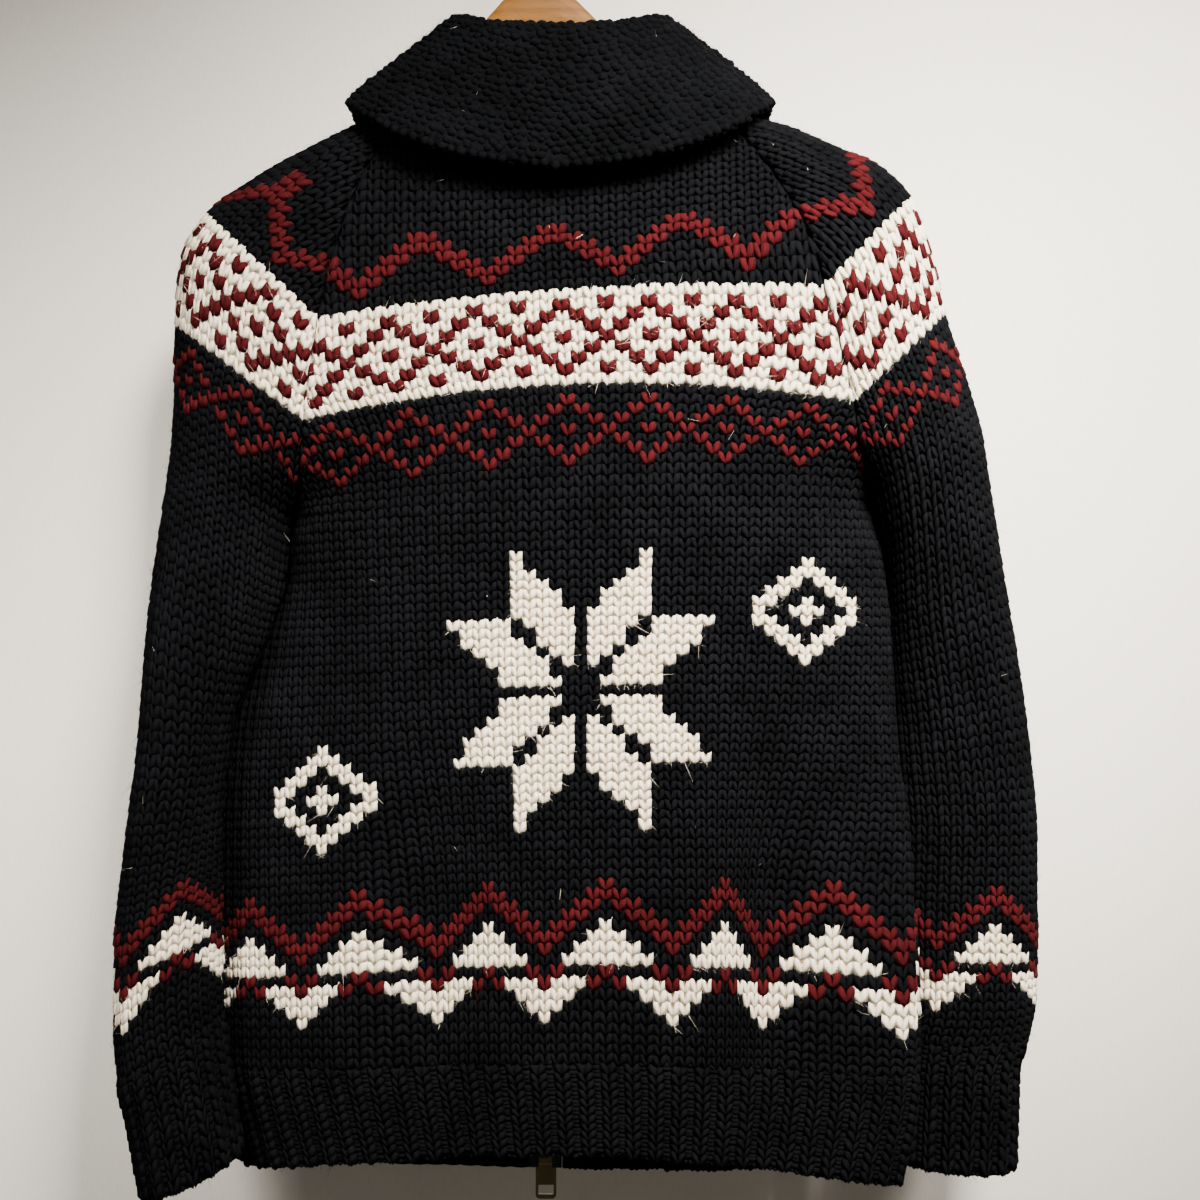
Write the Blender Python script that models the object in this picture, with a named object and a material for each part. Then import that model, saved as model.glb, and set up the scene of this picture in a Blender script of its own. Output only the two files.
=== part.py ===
"""A cowichan cardigan on a wooden hanger: chunky knit panels, rib bands, shawl collar and two-way zip.

The garment hangs with its back towards -Y and its zip towards +Y, +X to the right when its back is
seen, +Z up. The origin is the inner top of the hanger's hook. Tables are in millimetres.
"""

import math

import bmesh
import bpy
import numpy as np

MM = 0.001

# Driving sizes, in millimetres
WALL = 5.0  # thickness of the bulky knit
COLLAR_WALL = 6.4  # thickness of the moss-stitch collar
SEAM = 0.3  # gap between sewn pieces
RIB_RAISE = 1.7  # height of a rib over the wall

# The knitted rows, counted down from the neck seam
ARMPIT_ROW = 38.0
RIB_ROW = 94.0
LAST_ROW = 105.0
ROW_GAP = 0.09  # rows left open on each side of a rib seam
YOKE_ROWS = (0, 3, 6, 9.5, 13, 16, 19, 22, 25, 28, 31, 34, 36.4)
BODY_ROWS = (38, 40.5, 44, 48, 53, 58, 64, 70, 76, 82, 88, RIB_ROW - ROW_GAP)
RIB_ROWS = (RIB_ROW + ROW_GAP, 99.5, LAST_ROW)

BACK_COLUMNS = 24
FRONT_COLUMNS = 12
SLEEVE_COLUMNS = 22
BACK_RIBS = 34
FRONT_RIBS = 17
CUFF_RIBS = 18

# Roundness of the body's section: across ** FLATNESS, then a power from SIDE_POWER to YOKE_POWER
FLATNESS = 2.4
SIDE_POWER = 0.5
YOKE_POWER = 1.0
SLEEVE_FLATNESS = 0.4  # how much flatter than an ellipse the arm's outer half is below the armpit

# Zip, in millimetres on each side of its own centre line
ZIP_OPENING = 10.0
TAPE_INNER = 4.0
CHAIN_HALF = 3.7
TAPE_SET_BACK = 1.2
TAPE_THICK = 2.2
CHAIN_RAISE = 1.2
CHAIN_THICK = 3.6
CHAIN_ROWS = (5.4, 8, 14, 20, 28, 38, 48, 58, 70, 82, 92, 101.7)
SLIDER_ROW_TOP = 2.2
SLIDER_ROW_BOTTOM = 103.5

SLIDER_WIDTH = 10.4
SLIDER_HEIGHT = 15.0
SLIDER_PLATE = 3.4
SLIDER_GAP = 0.9  # over the tape
CROWN_WIDTH = 2.6
CROWN_RISE = 6.1
CROWN_HALF = 4.6
CROWN_HOLE_HALF = 2.8
CROWN_HOLE_LOW = 0.8
CROWN_HOLE_HIGH = 4.4

TAB_WIDTH = 12.4
TAB_DROP = 29.8  # from the joint's axis to the tab's lower end
TAB_THICK = 2.0
TAB_BAR = 1.0  # half the height of the bar that turns under the crown
TAB_SLOT_HALF = 3.0
TAB_SLOT_DROP = 8.2
TAB_WINDOW_TOP = 21.4
TAB_WINDOW_LOW = 27.2
TAB_WINDOW_HALF = 4.6
TAB_CORNER = 2.6

HOOK_WIRE = 3.6
HOOK_INNER = 19.0

# Body edges by row: the raglan seams down to the armpit, then the sides. seam_depth is half the depth
# at the raglan seams; the y columns place the side seams. middle_z is the row's height at centre back.
BODY = """
row    left_x left_z right_x right_z left_y right_y seam_depth back_y front_y middle_z front_drop
0        -80   -172    108    -169      0      0       37.5      45      49    -170       36
5        -94   -194    122    -188      0      0       43        50      51    -196       23
9.5     -105   -222    134    -206      0      0       46        53      52    -219       14
14      -113   -250    145    -227      0      0       48        55      53    -241        8
18      -118   -275    154    -258      0      0       49        56      53.5  -261        5
22      -122   -301    162    -286      0      0       49.5      57      54    -284        3
27      -126   -330    170    -320      0      0       48        57      54    -312        2
30      -128   -344    173    -333      0      0       43        57      54    -328        2
33      -131   -359    177    -346      0      0       33        56      54    -344        2
36.4    -136   -374    182    -362      0      0       15        56      54    -363        3
38      -140   -381    185    -371      0      0        0        56      54    -373        3
44     -144.8  -413    193    -404      6     -4        0        55      53    -405        5
52      -163   -455    197    -447     14     -8        0        54      52    -446        8
62      -186   -513    200    -502     18    -11        0        53      51    -499       12
72      -192   -570    207    -556     20    -12        0        52      50    -550       17
82      -192   -625    211    -616     20    -12        0        50      48    -604.5     22
90      -189   -670    213    -672     19    -12        0        48      46    -654       27
94      -186   -692    213    -692     18    -11        0        46      45    -676.5     30
105     -172   -749    203    -754      15     -9        0        42      42    -727       38
"""

# Sleeves by row: the line along the shoulder and outer arm, the underarm line below the armpit,
# where the tube's middle lies in y, and half its depth.
SLEEVE_LEFT = """
row     outer_x outer_z inner_x inner_z middle_y half_depth
0         -92    -155    -80    -172       0        38
5        -120    -167    -94    -194       0        44
9.5      -149    -181   -105    -222       0        47
14       -172    -195   -113    -250       0        49.5
18       -189    -208   -118    -275       0        51
22       -203    -233   -122    -301       0        51.5
27       -206    -271   -126    -330       0        51
33       -206    -303   -131    -359       0        48
38       -207    -332   -140.5  -381       0        45
44       -209    -363   -144.2  -412      -6        42
52       -213.5  -419   -154    -448     -16        39
62       -216.5  -494   -172.5  -500     -25        36
72       -224.5  -560   -177    -552     -27        34
82       -230    -614   -177    -594     -27        33
90      -231   -664   -176    -633     -26        32
94      -229.3 -686   -176.5  -655     -25        31
99      -223   -715   -173    -688     -24        30
105     -217   -752   -166.5  -733     -23        29
"""

SLEEVE_RIGHT = """
row     outer_x outer_z inner_x inner_z middle_y half_depth
0         114    -155    108    -169       0        38
5         142    -161.5  122    -188       0        44
9.5       168    -172    134    -206       0        47
14        191    -181.5  145    -227       0        49.5
18        209.5  -199.5  154    -258       0        51
22        220.5  -231    162    -286       0        51.5
27        228.5  -265    170    -320       0        50
33        239.5  -300    177    -346       0        46
38        247.5  -326    185    -371       0        42
44        255.5  -363    194.6  -405       6        38
52        267    -421    198.4  -448      15        35
62        280    -491    200.5  -505      21        32
72        287    -560    203    -561      22        30
82        287.5  -617    205.5  -614      22        28
90      286    -659    207.5  -660      21        28
94      282    -677    208.5  -680      20        27
97      275.5  -694    208    -697      19        26.5
105     273    -752    205    -749      17        26
"""

# Soft folds that the hanging cloth takes: place across (-1 to 1), spread, inward depth, first and full row
BACK_FOLDS = """
fold  across spread depth first_row full_row
0     -0.30   0.10   3.5     52       84
1      0.58   0.09   4.0     48       80
2      0.08   0.12   1.8     60       92
3     -0.72   0.10   2.6     40       60
"""
FRONT_FOLDS = """
fold  across spread depth first_row full_row
0     -0.52   0.10   3.2     50       84
1      0.44   0.10   3.6     46       80
"""

# The collar by angle from centre back: its folded top line and its free edge, for each half
COLLAR = """
angle  top_x top_y top_z lean edge_x edge_y edge_z
0        0    -42  -114    -1    0    -64   -198
30      30    -39  -112    -1   48    -63   -191
60      53    -24  -102    -1   93    -54   -173
75      59    -13  -100    0   113    -35   -156
90      63     -2  -100   0.5  118     -4   -146
105     61     12  -107   0.5  116     32   -157
120     54     24  -120   0.5  111     54   -179
150     31     46  -166   0.5   87     66   -229
170     14     53  -196   0.5   52     71   -254
"""
COLLAR_CENTRE_X = 11.5  # of the neck seam and the free edge; the fold leans to one side of it
COLLAR_STATIONS = 44
COLLAR_FOLD = 5.6  # radius of the fold
COLLAR_FOLD_STEPS = 5
COLLAR_BULGE = 1.0

# The hanger's arms from one tip to the other: top line, height and thickness
HANGER = """
x     top_z height thick
-186   -214    12     9
-181   -209    20    17
-165   -200    25    22
-120   -175    28    22
-92    -163    30    20
-60    -135    34    17
-38    -106    36    15
-30     -94    36    15
-21     -84    35    15
-11     -78    34    15
0       -76    34    15
11      -78    34    15
20      -84    35    15
31      -95    36    15
40     -106    36    15
60     -128    34    17
92     -158    30    20
120    -169    28    22
165    -193    25    22
183    -205    20    17
188    -211    12     9
"""


def monotone(xs, ys, x):
    """A smooth curve through the points that adds no bumps between them."""
    steps = np.diff(xs)
    slopes = np.diff(ys) / steps
    before, after = slopes[:-1], slopes[1:]
    weight_a = 2 * steps[1:] + steps[:-1]
    weight_b = steps[1:] + 2 * steps[:-1]
    with np.errstate(divide="ignore", invalid="ignore"):
        inner = (weight_a + weight_b) / (weight_a / before + weight_b / after)
    inner = np.where(before * after > 0, inner, 0.0)
    tangents = np.concatenate([slopes[:1], inner, slopes[-1:]])
    x = np.clip(np.asarray(x, float), xs[0], xs[-1])
    i = np.clip(np.searchsorted(xs, x, side="right") - 1, 0, len(xs) - 2)
    t = (x - xs[i]) / steps[i]
    rise = ys[i] * (1 + 2 * t) * (1 - t) ** 2 + ys[i + 1] * t**2 * (3 - 2 * t)
    return rise + steps[i] * (tangents[i] * t * (1 - t) ** 2 - tangents[i + 1] * t**2 * (1 - t))


class Table:
    """A text table with named columns, each read as a smooth function of the first."""

    def __init__(self, text):
        lines = text.split("\n")[1:-1]
        self.names = lines[0].split()
        self.values = np.array([[float(word) for word in line.split()] for line in lines[1:]])

    def at(self, name, x):
        return monotone(self.values[:, 0], self.values[:, self.names.index(name)], x)

    def rows(self):
        return [dict(zip(self.names, row)) for row in self.values]


BODY, COLLAR, HANGER = Table(BODY), Table(COLLAR), Table(HANGER)
SLEEVES = {"left": Table(SLEEVE_LEFT), "right": Table(SLEEVE_RIGHT)}
FOLDS = {-1: Table(BACK_FOLDS).rows(), 1: Table(FRONT_FOLDS).rows()}
BACK, FRONT = -1, 1


def smoothstep(t):
    t = np.clip(t, 0, 1)
    return t * t * (3 - 2 * t)


def body_point(row, across, face):
    """The body's outer surface: across runs from -1 at the left seam to 1 at the right one."""
    left_x, right_x = BODY.at("left_x", row), BODY.at("right_x", row)
    share = (across + 1) / 2
    x = left_x + (right_x - left_x) * share
    seam = BODY.at("seam_depth", row)
    depth = BODY.at("back_y" if face == BACK else "front_y", row)
    power = SIDE_POWER + (YOKE_POWER - SIDE_POWER) * smoothstep(seam / (0.75 * depth))
    flat = 1 - np.abs(across) ** FLATNESS
    bulge = np.clip(flat, 0, 1) ** power
    for fold in FOLDS[face]:
        grown = smoothstep((row - fold["first_row"]) / (fold["full_row"] - fold["first_row"]))
        trough = np.exp(-(((across - fold["across"]) / fold["spread"]) ** 2))
        depth = depth - fold["depth"] * grown * trough
    side_y = BODY.at("left_y", row) * (1 - share) + BODY.at("right_y", row) * share
    y = side_y * (1 - bulge) + face * (seam + (depth - seam) * bulge)
    left_z, right_z = BODY.at("left_z", row), BODY.at("right_z", row)
    lift = BODY.at("middle_z", row) - (left_z + right_z) / 2
    if face == FRONT:
        lift = lift - BODY.at("front_drop", row)
    z = left_z + (right_z - left_z) * share + lift * (1 - across**2)
    return np.stack([x, y, z], axis=-1)


def sleeve_point(side, row, turn):
    """A sleeve's outer surface: turn runs from -1 at its back seam, over the arm, to 1 at the front."""
    table = SLEEVES[side]
    in_yoke = row <= ARMPIT_ROW
    inner_x = np.where(in_yoke, BODY.at(side + "_x", row), table.at("inner_x", row))
    inner_z = np.where(in_yoke, BODY.at(side + "_z", row), table.at("inner_z", row))
    dx = table.at("outer_x", row) - inner_x
    dz = table.at("outer_z", row) - inner_z
    depth = table.at("half_depth", row)
    open_share = BODY.at("seam_depth", row) / depth
    closed = np.sqrt(np.clip(1 - open_share**2, 0, 1))
    centre = closed / (1 + closed)
    angle = turn * np.arccos(-closed)
    out = np.cos(angle)
    power = 1 - SLEEVE_FLATNESS * smoothstep((row - ARMPIT_ROW) / 20)
    along = centre + (1 - centre) * np.where(out > 0, np.abs(out) ** power, out)
    y = table.at("middle_y", row) + depth * np.sin(angle)
    return np.stack([inner_x + dx * along, y, inner_z + dz * along], axis=-1)


def zip_across(row):
    """Where the zip's line crosses a row of the front."""
    zip_x = 12 - 11 * smoothstep(row / LAST_ROW)
    left_x, right_x = BODY.at("left_x", row), BODY.at("right_x", row)
    return (2 * zip_x - left_x - right_x) / (right_x - left_x)


def per_mm(row):
    """How far across one millimetre is."""
    return 2 / (BODY.at("right_x", row) - BODY.at("left_x", row))


def spread(share, row):
    """Even steps along the section, which is round at the sides below the yoke."""
    seam = BODY.at("seam_depth", row)
    bend = (math.pi / 2) * (0.99 - 0.45 * smoothstep(seam / 40))
    return np.sin(share * bend) / np.sin(bend)


def grid_of(rows, shares):
    return np.meshgrid(np.array(rows, float), np.array(shares, float), indexing="ij")


def back_grid(rows, columns):
    row, share = grid_of(rows, np.linspace(-1, 1, columns))
    return body_point(row, spread(share, row), BACK)


def front_grid(rows, columns, side):
    row, share = grid_of(rows, np.linspace(0, 1, columns))
    stop = zip_across(row) + (ZIP_OPENING if side == "right" else -ZIP_OPENING) * per_mm(row)
    outer = 1.0 if side == "right" else -1.0
    bend = (math.pi / 2) * (0.99 - 0.45 * smoothstep(BODY.at("seam_depth", row) / 40))
    eased = np.sin(share * bend) / np.sin(bend)
    return body_point(row, stop + (outer - stop) * eased, FRONT)


def even_band(rows, columns, point, start=lambda row: -1, stop=lambda row: 1):
    """A rib band, its points an even length of cloth apart along each row of the surface."""
    across = np.empty((len(rows), columns))
    for i, row in enumerate(rows):
        fine = np.linspace(start(row), stop(row), 241)
        steps = np.linalg.norm(np.diff(point(np.full(len(fine), row), fine), axis=0), axis=1)
        reach = np.concatenate([[0.0], np.cumsum(steps)])
        across[i] = np.interp(np.linspace(0, reach[-1], columns), reach, fine)
    return point(np.broadcast_to(np.array(rows)[:, None], across.shape), across)


def back_band(rows, columns):
    return even_band(rows, columns, lambda row, across: body_point(row, across, BACK))


def front_band(rows, columns, way):
    """A front's rib band, from the zip to the seam on the side that way gives."""

    def zip_edge(row):
        return zip_across(row) + way * ZIP_OPENING * per_mm(row)

    def front(row, across):
        return body_point(row, across, FRONT)

    return even_band(rows, columns, front, zip_edge, lambda row: way)


def cuff_band(rows, columns, side):
    return even_band(rows, columns, lambda row, turn: sleeve_point(side, row, turn))


def sleeve_grid(side, rows, columns):
    row, share = grid_of(rows, np.linspace(-1, 1, columns))
    return sleeve_point(side, row, share)


def unit(vectors):
    return vectors / np.maximum(np.linalg.norm(vectors, axis=-1, keepdims=True), 1e-9)


def normals_of(points, outward):
    """The grid's normals, turned to the side of outward, a rough direction for each point."""
    down = np.gradient(points, axis=0)
    across = np.gradient(points, axis=1)
    normals = unit(np.cross(down, across))
    flip = np.sign((normals * outward).sum(axis=(0, 1, 2)))
    return normals * flip


def mitre(rows, first, second):
    """Both walls of a seam lean the same way, so that they meet along its whole thickness."""
    grid_a, column_a = first
    grid_b, column_b = second
    shared = unit(grid_a[rows, column_a] + grid_b[rows, column_b])
    grid_a[rows, column_a] = shared
    grid_b[rows, column_b] = shared


def opened(points, normals, column, inward):
    """Moves one column of a grid half a seam away from the seam."""
    step = unit(points[:, column + inward] - points[:, column])
    step = unit(step - (step * normals[:, column]).sum(axis=-1, keepdims=True) * normals[:, column])
    moved = points.copy()
    moved[:, column] += step * SEAM * 0.55
    return moved


def rib_heights(ribs):
    """A zigzag of ridges and troughs across a rib band, level at both ends."""
    heights = np.zeros(2 * ribs + 1)
    heights[1::2] = RIB_RAISE
    return heights


def mesh_object(name, points, faces, material, smooth_angle=40):
    mesh = bpy.data.meshes.new(name)
    mesh.from_pydata((np.asarray(points) * MM).tolist(), [], faces)
    mesh.validate()
    bm = bmesh.new()
    bm.from_mesh(mesh)
    bmesh.ops.recalc_face_normals(bm, faces=bm.faces)
    if bm.calc_volume(signed=True) < 0:
        bmesh.ops.reverse_faces(bm, faces=bm.faces)
    bm.to_mesh(mesh)
    bm.free()
    mesh.shade_smooth()
    mesh.set_sharp_from_angle(angle=math.radians(smooth_angle))
    obj = bpy.data.objects.new(name, mesh)
    obj.data.materials.append(material)
    PARTS.objects.link(obj)
    return obj


def wall_object(name, outer, inner, material):
    """A closed wall between two grids of the same shape, an open sheet all round."""
    height, width = outer.shape[:2]
    points = np.concatenate([outer.reshape(-1, 3), inner.reshape(-1, 3)])
    index = np.arange(2 * height * width).reshape(2, height, width)
    faces = []
    for layer in index:
        corners = (layer[:-1, :-1], layer[:-1, 1:], layer[1:, 1:], layer[1:, :-1])
        sheet = np.stack([corner.ravel() for corner in corners], axis=1)
        faces += (sheet if layer is index[0] else sheet[:, ::-1]).tolist()
    rims = (index[:, 0, :], index[:, -1, ::-1], index[:, ::-1, 0], index[:, :, -1])
    for top, bottom in rims:
        faces += np.stack([top[:-1], bottom[:-1], bottom[1:], top[1:]], axis=1).tolist()
    return mesh_object(name, points, faces, material)


def clothed(name, points, normals, material, ribs=None, wall=WALL):
    """A knitted wall under its outer surface, with ribs raised on the outer points only."""
    outer = points.copy()
    if ribs is not None:
        grow = np.ones(len(points))
        grow[0] = 0.35
        outer += normals * (ribs[None, :] * grow[:, None])[..., None]
    return wall_object(name, outer, points - normals * wall, material)


def body_walls(yarn):
    """Back, fronts and sleeves, with walls that meet at the raglan, side and underarm seams."""
    rows = YOKE_ROWS + BODY_ROWS
    yoke = np.arange(len(YOKE_ROWS))
    below = np.arange(len(YOKE_ROWS), len(rows))
    bands = {
        "back": (back_grid(rows, BACK_COLUMNS), (0, BACK, 0)),
        "front_left": (front_grid(rows, FRONT_COLUMNS, "left"), (0, FRONT, 0)),
        "front_right": (front_grid(rows, FRONT_COLUMNS, "right"), (0, FRONT, 0)),
        "sleeve_left": (sleeve_grid("left", rows, SLEEVE_COLUMNS), None),
        "sleeve_right": (sleeve_grid("right", rows, SLEEVE_COLUMNS), None),
    }
    points = {name: grid for name, (grid, _) in bands.items()}
    normals = {name: normals_of(grid, outward(grid, way)) for name, (grid, way) in bands.items()}
    join_seams(normals, yoke, below)
    sew(points, normals)
    for name, grid in points.items():
        clothed(name, grid, normals[name], yarn)


def outward(grid, way):
    """The rough outward direction: a fixed one for a panel, away from the axis for a tube."""
    if way is not None:
        return np.broadcast_to(np.array(way, float), grid.shape)
    return grid - grid.mean(axis=1, keepdims=True)


def join_seams(normals, yoke, below):
    """Shared wall directions along each seam."""
    for side, back_column in (("left", 0), ("right", -1)):
        sleeve, front = normals["sleeve_" + side], normals["front_" + side]
        mitre(yoke, (normals["back"], back_column), (sleeve, 0))
        mitre(yoke, (front, -1), (sleeve, -1))
        mitre(below, (normals["back"], back_column), (front, -1))
        mitre(below, (sleeve, 0), (sleeve, -1))


def sew(points, normals):
    """Opens the seam gaps between the panels."""
    for name in ("back", "sleeve_left", "sleeve_right"):
        points[name] = opened(points[name], normals[name], 0, 1)
        points[name] = opened(points[name], normals[name], -1, -1)
    for side in ("left", "right"):
        name = "front_" + side
        points[name] = opened(points[name], normals[name], -1, -1)


def rib_walls(rib_yarn):
    """The rib bands at the hem and cuffs, under the panels and in line with them."""
    below = np.arange(len(RIB_ROWS))
    counts = {"back": BACK_RIBS, "front_left": FRONT_RIBS, "front_right": FRONT_RIBS}
    counts.update({"sleeve_left": CUFF_RIBS, "sleeve_right": CUFF_RIBS})
    columns = {name: 2 * count + 1 for name, count in counts.items()}
    points = {
        "back": back_band(RIB_ROWS, columns["back"]),
        "front_left": front_band(RIB_ROWS, columns["front_left"], -1),
        "front_right": front_band(RIB_ROWS, columns["front_right"], 1),
        "sleeve_left": cuff_band(RIB_ROWS, columns["sleeve_left"], "left"),
        "sleeve_right": cuff_band(RIB_ROWS, columns["sleeve_right"], "right"),
    }
    ways = {"back": (0, BACK, 0), "front_left": (0, FRONT, 0), "front_right": (0, FRONT, 0)}
    normals = {
        name: normals_of(grid, outward(grid, ways.get(name))) for name, grid in points.items()
    }
    join_seams(normals, np.arange(0), below)
    sew(points, normals)
    names = {"back": "hem_back", "front_left": "hem_front_left", "front_right": "hem_front_right"}
    names.update({"sleeve_left": "cuff_left", "sleeve_right": "cuff_right"})
    for name, grid in points.items():
        clothed(names[name], grid, normals[name], rib_yarn, ribs=rib_heights(counts[name]))


def neck_ring():
    """The neck seam's middle line, from the zip's left side round the back to its right side."""
    first = (0.0,)
    pieces = [
        front_grid(first, FRONT_COLUMNS, "left")[0],
        sleeve_grid("left", first, SLEEVE_COLUMNS)[0][::-1],
        back_grid(first, BACK_COLUMNS)[0],
        sleeve_grid("right", first, SLEEVE_COLUMNS)[0],
        front_grid(first, FRONT_COLUMNS, "right")[0][::-1],
    ]
    ring = np.concatenate([piece[:-1] for piece in pieces[:-1]] + [pieces[-1]])
    centre = np.array([COLLAR_CENTRE_X, 0, 0])
    inward = unit((centre - ring) * [1, 1, 0])
    return ring + inward * WALL / 2


def collar_angle(ring):
    """Degrees from centre back, -180 to 180, on the ring seen as a circle."""
    half_width = np.ptp(ring[:, 0]) / 2
    half_depth = np.ptp(ring[:, 1]) / 2
    across = (ring[:, 0] - COLLAR_CENTRE_X) / half_width
    return np.degrees(np.arctan2(across, -ring[:, 1] / half_depth))


def collar_sections(stations, fold_steps=COLLAR_FOLD_STEPS):
    """The collar's middle surface: a row for each station round the neck, from seam to free edge."""
    ring = neck_ring()
    angles = collar_angle(ring)
    order = np.argsort(angles)
    ring, angles = ring[order], angles[order]
    last = COLLAR.values[-1, 0]
    wanted = np.linspace(-last, last, stations)
    base = np.stack([np.interp(wanted, angles, ring[:, i]) for i in range(3)], axis=1)
    base[:, 2] += SEAM + 1.6
    side = np.sign(wanted)
    turn = np.abs(wanted)
    centres = {"top": COLLAR_CENTRE_X + COLLAR.at("lean", turn), "edge": COLLAR_CENTRE_X}
    top, edge = (
        np.stack(
            [
                centre + side * COLLAR.at(part + "_x", turn),
                COLLAR.at(part + "_y", turn),
                COLLAR.at(part + "_z", turn),
            ],
            axis=1,
        )
        for part, centre in centres.items()
    )
    out = unit((edge - base) * [1, 1, 0])
    up = np.array([0.0, 0.0, 1.0])
    rise = np.clip((top[:, 2] - base[:, 2]) / 14, 0.35, 1)[:, None]
    radius = COLLAR_FOLD
    fold_centre = top - up * radius
    stand_end = fold_centre - out * radius
    fall_start = fold_centre + out * radius
    columns = [base, base * 0.5 + stand_end * 0.5 - out * 1.2 * rise]
    for step in range(fold_steps + 1):
        angle = math.pi * (1 - step / fold_steps)
        columns.append(fold_centre + radius * (out * math.cos(angle) + up * math.sin(angle)))
    normal = unit(np.cross(edge - fall_start, np.cross(edge - fall_start, out)))
    normal *= np.sign((normal * out).sum(axis=1, keepdims=True))
    for share in (0.33, 0.68):
        bulge = COLLAR_BULGE * 4 * share * (1 - share)
        columns.append(fall_start * (1 - share) + edge * share + normal * bulge)
    columns.append(edge)
    return np.stack(columns, axis=1)


def collar(yarn):
    middle = collar_sections(COLLAR_STATIONS)
    normals = unit(np.cross(np.gradient(middle, axis=0), np.gradient(middle, axis=1)))
    half = COLLAR_WALL / 2
    thickness = np.full(middle.shape[1], half)
    thickness[-1] = half * 0.7
    thickness[0] = half * 0.8
    offset = normals * thickness[None, :, None]
    wall_object("collar", middle + offset, middle - offset, yarn)


def front_strip(rows, from_mm, to_mm, columns, outer_lift, thick):
    """Outer and inner points of a strip beside the zip's line."""
    row, share = grid_of(rows, np.linspace(0, 1, columns))
    across = zip_across(row) + (from_mm + (to_mm - from_mm) * share) * per_mm(row)
    points = body_point(row, across, FRONT)
    normals = normals_of(points, outward(points, (0, FRONT, 0)))
    outer = points + normals * outer_lift
    return outer, outer - normals * thick


def zip_tapes(tape, metal):
    rows = (0.0,) + YOKE_ROWS[2::2] + BODY_ROWS[:-1:2] + (RIB_ROW, LAST_ROW)
    inner, outer = TAPE_INNER, ZIP_OPENING - SEAM
    spans = {"zip_tape_left": (-outer, -inner), "zip_tape_right": (inner, outer)}
    for name, (start, stop) in spans.items():
        walls = front_strip(rows, start, stop, 2, -TAPE_SET_BACK, TAPE_THICK)
        wall_object(name, *walls, tape)
    walls = front_strip(CHAIN_ROWS, -CHAIN_HALF, CHAIN_HALF, 2, CHAIN_RAISE, CHAIN_THICK)
    wall_object("zip_chain", *walls, metal)


def zip_spot(row):
    """The point on the front's outer surface where a slider sits."""
    row = np.array(row, float)
    return body_point(row, zip_across(row), FRONT)


def box(bm, low, high):
    """A box between two corners, in millimetres."""
    made = bmesh.ops.create_cube(bm, size=1.0)["verts"]
    low, high = np.array(low), np.array(high)
    for vert in made:
        vert.co = [(l + h) / 2 + (h - l) * c for l, h, c in zip(low, high, vert.co)]
    return made


def helper_object(name, corners):
    """A cutter or an added block, kept out of the render."""
    bm = bmesh.new()
    box(bm, *corners)
    bmesh.ops.scale(bm, vec=(MM, MM, MM), verts=bm.verts)
    mesh = bpy.data.meshes.new(name)
    bm.to_mesh(mesh)
    bm.free()
    obj = bpy.data.objects.new(name, mesh)
    obj.hide_render = True
    obj.display_type = "WIRE"
    CUTTERS.objects.link(obj)
    return obj


def combine(obj, other, operation):
    modifier = obj.modifiers.new(other.name, "BOOLEAN")
    modifier.operation = operation
    modifier.object = other


def slider(name, spot, metal):
    """A slider's front plate with the crown that its pull tab turns under."""
    bm = bmesh.new()
    wide, high = SLIDER_WIDTH / 2, SLIDER_HEIGHT / 2
    box(bm, (-wide, 0, -high), (wide, SLIDER_PLATE, high))
    bmesh.ops.bevel(bm, geom=bm.edges[:], offset=0.9, segments=2, profile=0.5, affect="EDGES")
    bmesh.ops.scale(bm, vec=(MM, MM, MM), verts=bm.verts)
    mesh = bpy.data.meshes.new(name)
    bm.to_mesh(mesh)
    bm.free()
    obj = bpy.data.objects.new(name, mesh)
    obj.data.materials.append(metal)
    PARTS.objects.link(obj)
    top = SLIDER_PLATE + CROWN_RISE
    half = CROWN_WIDTH / 2
    crown = helper_object(
        name + "_crown",
        ((-half, SLIDER_PLATE - 1, -CROWN_HALF), (half, top, CROWN_HALF)),
    )
    hole = helper_object(
        name + "_hole",
        (
            (-half - 2, SLIDER_PLATE + CROWN_HOLE_LOW, -CROWN_HOLE_HALF),
            (half + 2, SLIDER_PLATE + CROWN_HOLE_HIGH, CROWN_HOLE_HALF),
        ),
    )
    combine(obj, crown, "UNION")
    combine(obj, hole, "DIFFERENCE")
    obj.location = [value * MM for value in spot]
    for helper in (crown, hole):
        helper.parent = obj
    return obj


def tab_axis(spot):
    """The pull tab's joint: the middle of the crown's opening."""
    lift = SLIDER_PLATE + (CROWN_HOLE_LOW + CROWN_HOLE_HIGH) / 2
    return [spot[0], spot[1] + lift, spot[2]]


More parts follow.
